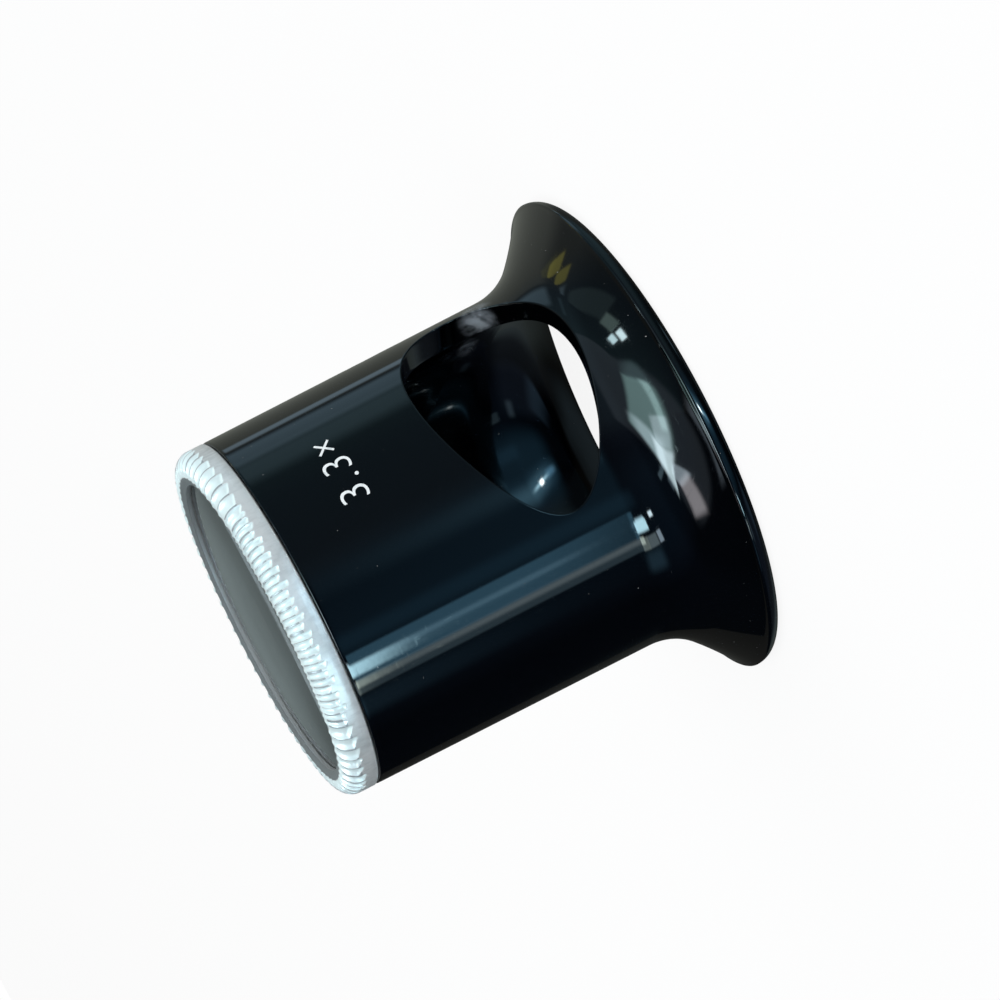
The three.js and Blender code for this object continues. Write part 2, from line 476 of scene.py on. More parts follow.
@dataclass(frozen=True)
class TurnedAluminium(Finish):
    """Satin aluminium: a dulled, turned band, brighter where the knurl was cut and on the crest, as
    fresh-cut metal is, with a painted highlight in that cut colour's even, cyan-tinted white.
    Painted shade darkens the ridges between the cuts, and a painted reflection of the lens greys
    the lip's slope.

    The mesh says which is where, in the attribute that is named here, as a Mark at each corner.
    """

    name: str = "satin_turned_aluminium"
    colour: Colour = (0.86, 0.88, 0.87)
    worn_colour: Colour = (0.62, 0.64, 0.63)
    cut_and_sheen_colour: Colour = (0.77, 0.895, 0.90)
    ridge_shade_colour: Colour = (0.42, 0.46, 0.48)
    slope_reflection_colour: Colour = (0.23, 0.25, 0.255)
    wall_colour: Colour = (0.50, 0.54, 0.55)
    ridge_shade_share: float = 0.9
    metallic: float = 0.50
    cut_metallic: float = 0.20
    roughness: float = 0.46
    cut_roughness: float = 0.34
    uneven_roughness: float = 0.25
    lines: Pattern = Pattern(1.2, 3.0, (0.04, 0.04, 16.0))
    patina: Pattern = Pattern(0.30, 5.0)
    patina_edges: tuple[float, float] = (0.40, 0.68)
    patina_share: float = 0.6
    grain: Pattern = Pattern(2.6, 3.0, (1.0, 1.0, 0.4), edges=(0.40, 0.70))
    grain_share: float = 0.35
    pits: Pattern = Pattern(7.0, 2.0, edges=(0.66, 0.72))
    pit_share: float = 0.3
    pit_height: float = 0.5
    line_depth: float = 0.0022
    bright_edges: tuple[float, float] = (0.05, 0.35)
    mark_attribute: str = "cut"
    mark_slack: float = 0.5

    def sockets(self, recipe: Recipe) -> dict[str, Any]:
        """The shader's inputs.

        Args:
            recipe: The material's node tree.

        Returns:
            Values, terms or output sockets by the input's name.
        """
        place = recipe.place()
        attribute = recipe.node("ShaderNodeAttribute", {"attribute_name": self.mark_attribute})
        mark = recipe.term(attribute.outputs["Fac"])
        cut = mark.rise(*self.bright_edges)
        lines = recipe.noise(place, self.lines)
        patina = recipe.noise(place, self.patina)
        pits = recipe.noise(place, self.pits)
        worn = (patina.rise(*self.patina_edges) * self.patina_share
                + recipe.noise(place, self.grain) * self.grain_share + pits * self.pit_share)
        band = recipe.mix(worn.math("MINIMUM", 1.0), self.colour, self.worn_colour)
        # Ridges between the cuts get a darker colour, a painted shade. The lip's slope gets a dark
        # grey, a painted reflection of the lens.
        layers = ((Mark.RIDGE, self.ridge_shade_share, self.ridge_shade_colour),
                  (Mark.LIP_SLOPE, 1.0, self.slope_reflection_colour), (Mark.LIP_WALL, 1.0, self.wall_colour))
        for layer, share, colour in layers:
            here = mark.math("LESS_THAN", layer.value + self.mark_slack)
            band = recipe.mix(here * share, band, colour)
        roughness = self.roughness + (patina - NOISE_MIDDLE) * self.uneven_roughness
        # The cut colour is the fresh-cut metal's, with a painted highlight in its even, cyan-tinted
        # white.
        return {
            "Base Color": recipe.mix(cut, band, self.cut_and_sheen_colour),
            "Metallic": self.metallic - cut * (self.metallic - self.cut_metallic),
            "Roughness": roughness - cut * (self.roughness - self.cut_roughness),
            "Normal": recipe.bump(lines + pits * self.pit_height, self.line_depth),
        }


@dataclass(frozen=True)
class PolishedGlass(Finish):
    """Clear crown glass, polished on its faces and ground on its edge."""

    name: str = "polished_lens_glass"
    colour: Colour = (0.96, 0.99, 0.98)
    index: float = 1.52
    edge_radius: float = 12.1
    edge_blend: float = 0.05
    edge_roughness: float = 0.45
    dust: Pattern = Pattern(3.0, 2.0, edges=(0.70, 0.74))
    dust_roughness: float = 0.25
    smear: Pattern = Pattern(0.14, 3.0, edges=(0.45, 0.75))
    smear_roughness: float = 0.03

    def sockets(self, recipe: Recipe) -> dict[str, Any]:
        """The shader's inputs.

        Args:
            recipe: The material's node tree.

        Returns:
            Values, terms or output sockets by the input's name.
        """
        place = recipe.place()
        axes = recipe.node("ShaderNodeSeparateXYZ", sockets={0: place})
        x = recipe.term(axes.outputs["X"]) * (1 / MM)
        y = recipe.term(axes.outputs["Y"]) * (1 / MM)
        radius = (x * x + y * y) ** 0.5
        ground = radius.rise(self.edge_radius - self.edge_blend, self.edge_radius)
        dust = recipe.noise(place, self.dust)
        smear = recipe.noise(place, self.smear)
        return {
            "Base Color": (*self.colour, 1.0),
            "Roughness": (ground * self.edge_roughness + smear * self.smear_roughness
                          + dust * self.dust_roughness),
            "IOR": self.index,
            "Transmission Weight": 1.0,
        }


@dataclass(frozen=True)
class PrintInk(Finish):
    """Matt white printing ink, a little uneven."""

    name: str = "white_print_ink"
    colour: Colour = (0.80, 0.84, 0.85)
    thin_colour: Colour = (0.60, 0.66, 0.68)
    roughness: float = 0.5
    cover: Pattern = Pattern(2.6, 3.0)
    thin_edges: tuple[float, float] = (0.5, 0.75)
    relief: float = 0.004

    def sockets(self, recipe: Recipe) -> dict[str, Any]:
        """The shader's inputs.

        Args:
            recipe: The material's node tree.

        Returns:
            Values, terms or output sockets by the input's name.
        """
        cover = recipe.noise(recipe.place(), self.cover)
        return {
            "Base Color": recipe.mix(cover.rise(*self.thin_edges), self.colour, self.thin_colour),
            "Roughness": self.roughness,
            "Normal": recipe.bump(cover, self.relief),
        }


# Meshes


def add_object(name: str, data: bpy.types.ID) -> bpy.types.Object:
    """Adds an object to the scene.

    Args:
        name: The object's name.
        data: Its mesh, curve, light or camera.

    Returns:
        The new object.
    """
    thing = bpy.data.objects.new(name, data)
    bpy.context.scene.collection.objects.link(thing)
    return thing


def quads(rows: int, columns: int, closed_rows: bool, closed_columns: bool) -> np.ndarray:
    """Faces of a grid whose corner at (row, column) has the index row * columns + column.

    Args:
        rows: Number of rows of corners.
        columns: Number of corners in a row.
        closed_rows: Whether the last row joins the first.
        closed_columns: Whether the last column joins the first.

    Returns:
        Corner indices of each face, four to a face, row by row.
    """
    row = np.arange(rows if closed_rows else rows - 1)[:, None]
    column = np.arange(columns if closed_columns else columns - 1)[None, :]
    next_row = (row + 1) % rows
    next_column = (column + 1) % columns
    corners = (row * columns + column, row * columns + next_column,
               next_row * columns + next_column, next_row * columns + column)
    return np.stack(corners, axis=-1).reshape(-1, 4)


def turned(profile: np.ndarray, azimuths: np.ndarray) -> np.ndarray:
    """Surface of revolution: (r sin a, -r cos a, z) for each profile point (r, z) and azimuth a.

    Args:
        profile: Points (r, z) in millimetres.
        azimuths: Angles in radians.

    Returns:
        Corners as an array of rows, columns and three coordinates.
    """
    radius = profile[:, 0][:, None]
    height = np.broadcast_to(profile[:, 1][:, None], (len(profile), len(azimuths)))
    return np.stack([radius * np.sin(azimuths), -radius * np.cos(azimuths), height], axis=-1)


def rounded(corners: list[Triple], steps: int = 4) -> np.ndarray:
    """An open path of straight stretches whose corners are rounded by arcs.

    A corner P of radius R between unit directions u, coming, and v, going, starts its arc at
    P - u t and ends it at P + v t, with t = R tan(turn / 2). The arc's points are
    P - u t + R sin(s) u + R (1 - cos(s)) n, where s runs over the turn and n is the side of u
    that v turns to.

    Args:
        corners: Points (r, z) and the radius of each corner. Radius 0 keeps it sharp.
        steps: Pieces of each arc.

    Returns:
        Points (r, z) of the path.
    """
    places = np.array([corner[:2] for corner in corners])
    path = []
    for index, (_, _, radius) in enumerate(corners):
        here = places[index]
        if radius == 0 or index in (0, len(corners) - 1):
            path.append(here[None])
            continue
        coming = here - places[index - 1]
        going = places[index + 1] - here
        u, v = coming / np.linalg.norm(coming), going / np.linalg.norm(going)
        turn = math.acos(float(np.clip(u @ v, -1, 1)))
        side = v - u * (u @ v)
        side = side / np.linalg.norm(side)
        s = np.linspace(0, turn, steps + 1)[:, None]
        start = here - u * radius * math.tan(turn / 2)
        path.append(start + radius * np.sin(s) * u + radius * (1 - np.cos(s)) * side)
    return np.concatenate(path)


def solid_mesh(name: str, corners: np.ndarray, faces: np.ndarray, material: bpy.types.Material,
               sharp: float = 40.0, normals: np.ndarray | None = None) -> bpy.types.Object:
    """A closed mesh object with its faces turned outwards.

    The signed volume, a sixth of the sum of a . (b x c) over the triangles of the faces, is
    negative when they point inwards, and then they are all turned.

    Args:
        name: The object's name.
        corners: Corner places in millimetres.
        faces: Corner indices, four to a face. A triangle repeats its last corner.
        material: The finish of all faces.
        sharp: Edges that fold by more than this many degrees stay sharp.
        normals: The true surface normal at each corner, zero where the faces decide.

    Returns:
        The new object, linked to the scene, with its place in its mesh.
    """
    corners = corners.reshape(-1, 3)
    used, where = np.unique(faces, return_inverse=True)
    corners, faces = corners[used], where.reshape(faces.shape)
    volume = 0.0
    for last in range(2, faces.shape[1]):
        a, b, c = corners[faces[:, 0]], corners[faces[:, last - 1]], corners[faces[:, last]]
        volume += float(np.einsum("ij,ij->", a, np.cross(b, c))) / 6
    if volume < 0:
        faces = faces[:, ::-1]
    mesh = bpy.data.meshes.new(name)
    mesh.from_pydata(corners * MM, [], [tuple(dict.fromkeys(face)) for face in faces.tolist()])
    mesh.polygons.foreach_set("use_smooth", np.ones(len(mesh.polygons), dtype=bool))
    mesh.set_sharp_from_angle(angle=math.radians(sharp))
    if normals is not None:
        mesh.normals_split_custom_set_from_vertices(normals[used].tolist())
    mesh.materials.append(material)
    mesh.update()
    return add_object(name, mesh)


# The loupe's sub-assemblies


@dataclass(frozen=True)
class Thread:
    """A right-handed thread ridge whose height runs out at both ends.

    The section holds points (w, h): w half widths along the axis and h heights out from the
    surface. Its feet are sunk below the surface. A negative height makes an inner thread.
    """

    radius: float
    height: float
    low: float
    high: float
    phase: float = 0.0
    pitch: float = 0.5
    half_width: float = 0.15
    run_outs_per_turn: float = 3.0
    least_height: float = 0.02
    steps_per_turn: int = 90
    section: tuple[tuple[float, float], ...] = (
        (-1.0, -0.3), (-0.55, 0.35), (-0.2, 0.92), (0.2, 0.92), (0.55, 0.35), (1.0, -0.3))

    def build(self) -> tuple[np.ndarray, np.ndarray]:
        """Sweeps the section along the helix z = low + pitch a / 2 pi, with a the azimuth turned.

        The height is scaled by a sine step at each end. The azimuth grows from -Y to +X, which is
        anticlockwise seen from +Z, so a helix that climbs is right-handed.

        Returns:
            Corners and faces.
        """
        turns = (self.high - self.low) / self.pitch
        along = np.linspace(0, turns, round(turns * self.steps_per_turn))
        fade = np.clip(np.minimum(along, turns - along) * self.run_outs_per_turn, 0, 1)
        fade = np.sin(fade * math.pi / 2)[:, None]
        across, rise = np.array(self.section).T
        azimuth = (along * 2 * math.pi + self.phase)[:, None]
        share = self.least_height + (1 - self.least_height) * fade
        out = self.radius + self.height * rise * share
        level = self.low + (along * self.pitch)[:, None] + across * self.half_width
        corners = np.stack([out * np.sin(azimuth), -out * np.cos(azimuth), level], axis=-1)
        sides = len(self.section)
        faces = quads(len(along), sides, False, True)
        last = (len(along) - 1) * sides
        caps = [[0, k + 2, k + 1, k + 1] for k in range(sides - 2)]
        caps += [[last, last + k + 1, last + k + 2, last + k + 2] for k in range(sides - 2)]
        return corners, np.concatenate([faces, np.array(caps)])


@dataclass
class Housing:
    """The one-piece moulding: barrel, flared eye cup, side window, lens seat and threaded mouth."""

    barrel_radius: float = 14.1
    draft: float = math.radians(0.72)
    barrel_wall: float = 2.0
    throat_radius: float = 5.6
    skirt_radius: float = 28.0
    skirt_end: float = math.radians(54.5)
    crease: tuple[float, float] = (19.25, 1.25)
    rim_radius: float = 19.42
    rim_round: float = 1.2
    rim_wall: float = 1.8
    land_round: float = 0.12
    cup_start: float = 0.4
    seat: tuple[float, float] = (11.7, 28.846)
    seat_lead: float = 0.3
    seat_gap: float = 0.1
    seat_round: float = 0.08
    mouth_radius: float = 13.15
    mouth_foot_round: float = 0.05
    mouth_top_round: float = 0.06
    mouth_chamfer: float = 0.3
    edge_round: float = 0.15
    thread_height: float = -0.12
    thread_gaps: tuple[float, float] = (0.25, 0.1)
    window_half_width: float = 9.81
    window_half_height: float = 6.16
    window_taper: float = 0.16
    window_height: float = 11.23
    window_outer_round: float = 0.14
    window_inner_round: float = 0.18
    patch_half_angle: float = math.radians(67.5)
    patch_low: float = 3.9
    patch_high: float = 19.0
    columns: int = 240
    plain_rows: int = 15
    rim_rows: int = 14
    cup_rows: int = 17
    patch_rows: int = 46
    patch_rings: int = 12
    patch_spread: float = 1.4
    arc_rows: int = 5
    wall_rows: int = 7
    smooth_margin: float = 0.1
    wall_tolerance: float = 1e-4
    top: float = field(default_factory=lambda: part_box("housing")[1][2] / MM)

    def flare(self, steps: int = 60) -> tuple[np.ndarray, np.ndarray]:
        """The outside and inside of the flare from the neck down to the crease.

        Two arcs follow each other, the throat's and the skirt's, so that the side turns from
        the barrel's draft to the skirt's end angle. The inside is the outside moved along its
        normal by a wall that thins evenly with the turn.

        Args:
            steps: Pieces of each arc.

        Returns:
            Points (r, z) of the outside and of the inside.
        """
        bend = self.skirt_radius - self.throat_radius
        fall = (self.top - self.crease[1] + self.throat_radius * math.sin(self.draft)
                - self.skirt_radius * math.sin(self.skirt_end))
        rise = (self.crease[0] - self.barrel_radius - self.throat_radius * math.cos(self.draft)
                + self.skirt_radius * math.cos(self.skirt_end) - fall * math.tan(self.draft))
        join = self.draft + math.acos(rise * math.cos(self.draft) / bend)
        neck = self.top - fall - bend * math.sin(join)
        throat = np.linspace(self.draft, join, steps)
        skirt = np.linspace(join, self.skirt_end, steps)[1:]
        start = self.barrel_radius + (self.top - neck) * math.tan(self.draft)
        r_throat = start + self.throat_radius * (math.cos(self.draft) - np.cos(throat))
        z_throat = neck - self.throat_radius * (np.sin(throat) - math.sin(self.draft))
        r_skirt = r_throat[-1] + self.skirt_radius * (math.cos(join) - np.cos(skirt))
        z_skirt = z_throat[-1] - self.skirt_radius * (np.sin(skirt) - math.sin(join))
        angle = np.concatenate([throat, skirt])
        outside = np.stack([np.concatenate([r_throat, r_skirt]),
                            np.concatenate([z_throat, z_skirt])], axis=1)
        share = (angle - self.draft) / (self.skirt_end - self.draft)
        wall = self.barrel_wall + (self.rim_wall - self.barrel_wall) * share
        inside = outside - wall[:, None] * np.stack([np.cos(angle), np.sin(angle)], axis=1)
        return outside, inside

    def sides(self) -> tuple[np.ndarray, np.ndarray]:
        """The outside and the inside as radius over height, from the rim up.

        Returns:
            Two arrays of (r, z) with z growing.
        """
        outside, inside = self.flare()
        front = np.array([[self.barrel_radius, self.top]])
        seat = np.array([self.seat])
        return (np.concatenate([outside[::-1], front]),
                np.concatenate([inside[::-1], seat]))

    def profile(self) -> tuple[np.ndarray, int, int]:
        """The closed outline of the wall, down the outside and up the inside.

        Returns:
            Points (r, z), the row at which the window's patch starts on the outside, and the
            row at which it starts on the inside.
        """
        outside, inside = self.sides()
        patch = np.linspace(self.patch_high, self.patch_low, self.patch_rows + 1)

        def on(side: np.ndarray, height: np.ndarray) -> np.ndarray:
            """Points of a side at given heights."""
            return np.stack([np.interp(height, side[:, 1], side[:, 0]), height], axis=1)

        edge = self.edge_round
        front = rounded([
            (self.mouth_radius + self.mouth_chamfer, self.top, 0.0),
            (self.barrel_radius, self.top, edge),
            (self.barrel_radius + edge * math.tan(self.draft), self.top - 2 * edge, 0.0),
        ])
        above = on(outside, np.linspace(self.top - 3 * edge, self.patch_high,
                                        self.plain_rows + 1)[:-1])
        skirt = on(outside, np.linspace(self.patch_low, self.crease[1], self.plain_rows + 1)[1:])
        sweep = np.linspace(0, -math.pi / 2, self.rim_rows)
        rim = np.stack([self.rim_radius - self.rim_round * (1 - np.cos(sweep)),
                        self.rim_round * (1 + np.sin(sweep))], axis=1)
        land = np.interp(0.0, inside[:, 1], inside[:, 0])
        foot, lead = on(inside, np.array([self.cup_start, self.seat[1] - self.seat_lead]))
        inner_rim = rounded([(self.rim_radius - self.rim_round, 0.0, 0.0),
                             (land, 0.0, self.land_round), (*foot, 0.0)])[1:]
        cup = on(inside, np.linspace(self.cup_start + edge, self.patch_low,
                                     self.cup_rows + 1)[:-1])
        under_seat = self.seat[1] - (self.seat_lead + self.seat_gap)
        inner_above = on(inside, np.linspace(self.patch_high, under_seat,
                                             self.plain_rows + 1)[1:])
        mouth = rounded([
            (*lead, 0.0),
            (*self.seat, self.seat_round),
            (self.mouth_radius, self.seat[1], self.mouth_foot_round),
            (self.mouth_radius, self.top - self.mouth_chamfer, self.mouth_top_round),
            (self.mouth_radius + self.mouth_chamfer, self.top, 0.0),
        ])[:-1]
        before = [front, above]
        after = [skirt, rim, inner_rim, cup]
        outer_row = sum(len(part) for part in before)
        inner_row = outer_row + len(patch) + sum(len(part) for part in after)
        parts = [*before, on(outside, patch), *after, on(inside, patch[::-1]), inner_above, mouth]
        return np.concatenate(parts), outer_row, inner_row

    def window_edge(self, turn: np.ndarray, offset: float) -> np.ndarray:
        """The window's outline seen along Y, moved outwards.

        The outline is x = B cos t, z = A (1 + k cos t) sin t. It moves along its own normal,
        which is (dz/dt, -dx/dt) made a unit vector.

        Args:
            turn: The angles t.
            offset: How far outside the outline, in millimetres.

        Returns:
            Points (x, z).
        """
        wide, tall, taper = self.window_half_width, self.window_half_height, self.window_taper
        x = wide * np.cos(turn)
        z = tall * (1 + taper * np.cos(turn)) * np.sin(turn)
        dx = -wide * np.sin(turn)
        dz = tall * (np.cos(turn) + taper * np.cos(2 * turn))
        normal = np.stack([dz, -dx], axis=1)
        normal = normal / np.linalg.norm(normal, axis=1)[:, None]
        return np.stack([x, z + self.window_height], axis=1) + offset * normal

    def build(self) -> tuple[np.ndarray, np.ndarray, np.ndarray]:
        """The housing as one grid of revolution with a patch round each side of the window.

        In the patch a point runs in a straight line, seen along Y, from the window's outline
        to the border of the patch, and lies on the wall's surface: y = -sqrt(R(z)^2 - x^2). The
        cut wall joins both outlines along Y with a rounded edge at each end.

        Returns:
            Corners, faces, and the walls' true normals, which are zero elsewhere.
        """
        profile, outer_row, inner_row = self.profile()
        step = 2 * math.pi / self.columns
        azimuths = -self.patch_half_angle + step * np.arange(self.columns)
        grid = turned(profile, azimuths).reshape(-1, 3)
        faces = quads(len(profile), self.columns, True, True)
        across = round(2 * self.patch_half_angle / step)
        row, column = np.divmod(np.arange(len(faces)), self.columns)
        in_patch = np.zeros(len(faces), dtype=bool)
        for start in (outer_row, inner_row):
            in_patch |= (row >= start) & (row < start + self.patch_rows) & (column < across)
        parts, kept, count = [grid], [faces[~in_patch]], len(grid)
        outside, inside = self.sides()
        normals = [self._grid_normals(grid, outside, inside)]
        loops = []
        for start, side, facing, offset in ((outer_row, outside, 1, self.window_outer_round),
                                            (inner_row, inside, -1, self.window_inner_round)):
            border = self._border(start, across, facing < 0)
            inner = self.window_edge(self._turns(across), offset)
            outer = grid[border][:, [0, 2]]
            share = np.linspace(0, 1, self.patch_rings + 1)[:-1, None, None] ** self.patch_spread
            ring = self._on_wall(inner[None] * (1 - share) + outer[None] * share, side)
            index = count + np.arange(ring.shape[0] * ring.shape[1]).reshape(ring.shape[:2])
            index = np.concatenate([index, border[None]])
            parts.append(ring.reshape(-1, 3))
            normals.append(facing * self._wall_normals(parts[-1], side))
            kept.append(self._strip(index)[:, ::-facing])
            count += ring.shape[0] * ring.shape[1]
            loops.append(index[0])
        wall = self._cut_wall(self._turns(across), outside, inside)
        index = count + np.arange(wall.shape[0] * wall.shape[1]).reshape(wall.shape[:2])
        index = np.concatenate([loops[0][None], index, loops[1][None]])
        parts.append(wall.reshape(-1, 3))
        normals.append(np.zeros_like(parts[-1]))
        kept.append(self._strip(index))
        return np.concatenate(parts), np.concatenate(kept), np.concatenate(normals)

    @staticmethod
    def _wall_normals(points: np.ndarray, side: np.ndarray) -> np.ndarray:
        """Outward normals of a wall of revolution: (x / r, y / r, -R'(z)) made a unit vector.

        Args:
            points: Points on the wall.
            side: The wall's radius over height.

        Returns:
            One normal for each point.
        """
        slope = np.interp(points[:, 2], side[:, 1], np.gradient(side[:, 0], side[:, 1]))
        radius = np.hypot(points[:, 0], points[:, 1])
        normal = np.stack([points[:, 0] / radius, points[:, 1] / radius, -slope], axis=1)
        return normal / np.linalg.norm(normal, axis=1)[:, None]

    def _grid_normals(self, grid: np.ndarray, outside: np.ndarray,
                      inside: np.ndarray) -> np.ndarray:
        """Normals of the grid's corners that lie on the outside or the inside of the wall.

        Args:
            grid: The grid's corners.
            outside: The outside's radius over height.
            inside: The inside's radius over height.

        Returns:
            One normal for each corner, zero at the rim, the seat and the mouth.
        """
        normals = np.zeros_like(grid)
        radius = np.hypot(grid[:, 0], grid[:, 1])
        margin = self.smooth_margin
        limits = ((outside, 1, self.crease[1] + margin, self.top - 2 * self.edge_round - margin),
                  (inside, -1, self.cup_start + margin,
                   self.seat[1] - self.seat_lead - margin / 2))
        for side, facing, low, high in limits:
            off = np.abs(radius - np.interp(grid[:, 2], side[:, 1], side[:, 0]))
            on = (off < self.wall_tolerance) & (grid[:, 2] > low) & (grid[:, 2] < high)
            normals[on] = facing * self._wall_normals(grid[on], side)
        return normals

    def _border(self, start: int, across: int, upward: bool) -> np.ndarray:
        """Indices of the patch's border, from its upper left corner round by the right.

        Args:
            start: The patch's first row.
            across: The patch's faces in a row.
            upward: Whether the rows climb, as they do on the inside.

        Returns:
            Corner indices of the loop.
        """
        first, last = start, start + self.patch_rows
        high, low = (last, first) if upward else (first, last)
        down = np.linspace(high, low, self.patch_rows + 1).round().astype(int)
        right = np.arange(across)
        loop = [high * self.columns + right, down[:-1] * self.columns + across,
                low * self.columns + across - right, down[:0:-1] * self.columns]
        return np.concatenate(loop)

    def _turns(self, across: int) -> np.ndarray:
        """The outline's angle for each corner of the patch's border.

        A border corner at share (p, q) of the patch's half width and half height lies on the
        outline at atan2(q, p), so that the lines between them spread evenly.

        Args:
            across: The patch's faces in a row.

        Returns:
            Angles t in the order of the border.
        """
        high = (self.patch_high - self.window_height) / self.window_half_height
        low = (self.patch_low - self.window_height) / self.window_half_height
        wide = self.barrel_radius * math.sin(self.patch_half_angle) / self.window_half_width
        right = np.linspace(-wide, wide, across + 1)[:-1]
        down = np.linspace(high, low, self.patch_rows + 1)[:-1]
        p = np.concatenate([right, np.full(len(down), wide), -right, np.full(len(down), -wide)])
        up = np.linspace(low, high, self.patch_rows + 1)[:-1]
        q = np.concatenate([np.full(len(right), high), down, np.full(len(right), low), up])
        return np.arctan2(q, p)

    @staticmethod
    def _on_wall(flat: np.ndarray, side: np.ndarray) -> np.ndarray:
        """Lifts points (x, z) onto the front of a wall: y = -sqrt(R(z)^2 - x^2).

        Args:
            flat: Points (x, z) in an array of any shape.
            side: The wall's radius over height.

        Returns:
            Points (x, y, z).
        """
        radius = np.interp(flat[..., 1], side[:, 1], side[:, 0])
        depth = -np.sqrt(np.maximum(radius ** 2 - flat[..., 0] ** 2, 0))
        return np.stack([flat[..., 0], depth, flat[..., 1]], axis=-1)

    def _cut_wall(self, turn: np.ndarray, outside: np.ndarray, inside: np.ndarray) -> np.ndarray:
        """The wall of the window between its two rounded edges.

        Along Y it runs straight. At the outer edge a quarter arc of angle s starts on the
        surface, at offset r (1 - sin s) and depth r (1 - cos s), and the inner edge mirrors it.

        Args:
            turn: The outline's angles.
            outside: The outside's radius over height.
            inside: The inside's radius over height.

        Returns:
            Rows of points from the outer edge to the inner one, without the loops that the
            patches already have.
        """
        quarter = np.linspace(0, math.pi / 2, self.arc_rows + 1)
        outer, inner = [], []
        for s in quarter[1:]:
            offset = self.window_outer_round * (1 - math.sin(s))
            row = self._on_wall(self.window_edge(turn, offset), outside)
            row[:, 1] += self.window_outer_round * (1 - math.cos(s))
            outer.append(row)
        for s in quarter[:-1]:
            offset = self.window_inner_round * (1 - math.cos(s))
            row = self._on_wall(self.window_edge(turn, offset), inside)
            row[:, 1] -= self.window_inner_round * (1 - math.sin(s))
            inner.append(row)
        between = [outer[-1] * (1 - share) + inner[0] * share
                   for share in np.linspace(0, 1, self.wall_rows + 2)[1:-1]]
        return np.stack(outer + between + inner)

    @staticmethod
    def _strip(index: np.ndarray) -> np.ndarray:
        """Faces between the rows of an index array whose rows are closed loops."""
        a, b = index[:-1], index[1:]
        return np.stack([a, np.roll(a, -1, 1), np.roll(b, -1, 1), b], axis=-1).reshape(-1, 4)

    def dress(self) -> list[bpy.types.Object]:
        """Builds the moulding and the thread in its mouth.

        Returns:
            The pieces.
        """
        plastic = PolishedPlastic().make()
        corners, faces, normals = self.build()
        moulding = solid_mesh("moulded_housing", corners, faces, plastic, normals=normals)
        ridge = Thread(self.mouth_radius, self.thread_height, self.seat[1] + self.thread_gaps[0],
                       self.top - self.mouth_chamfer - self.thread_gaps[1])
        thread = solid_mesh("mouth_thread", *ridge.build(), plastic)
        for piece in (moulding, thread):
            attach(piece, Body.HOUSING.value)
        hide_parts("housing")
        return [moulding, thread]


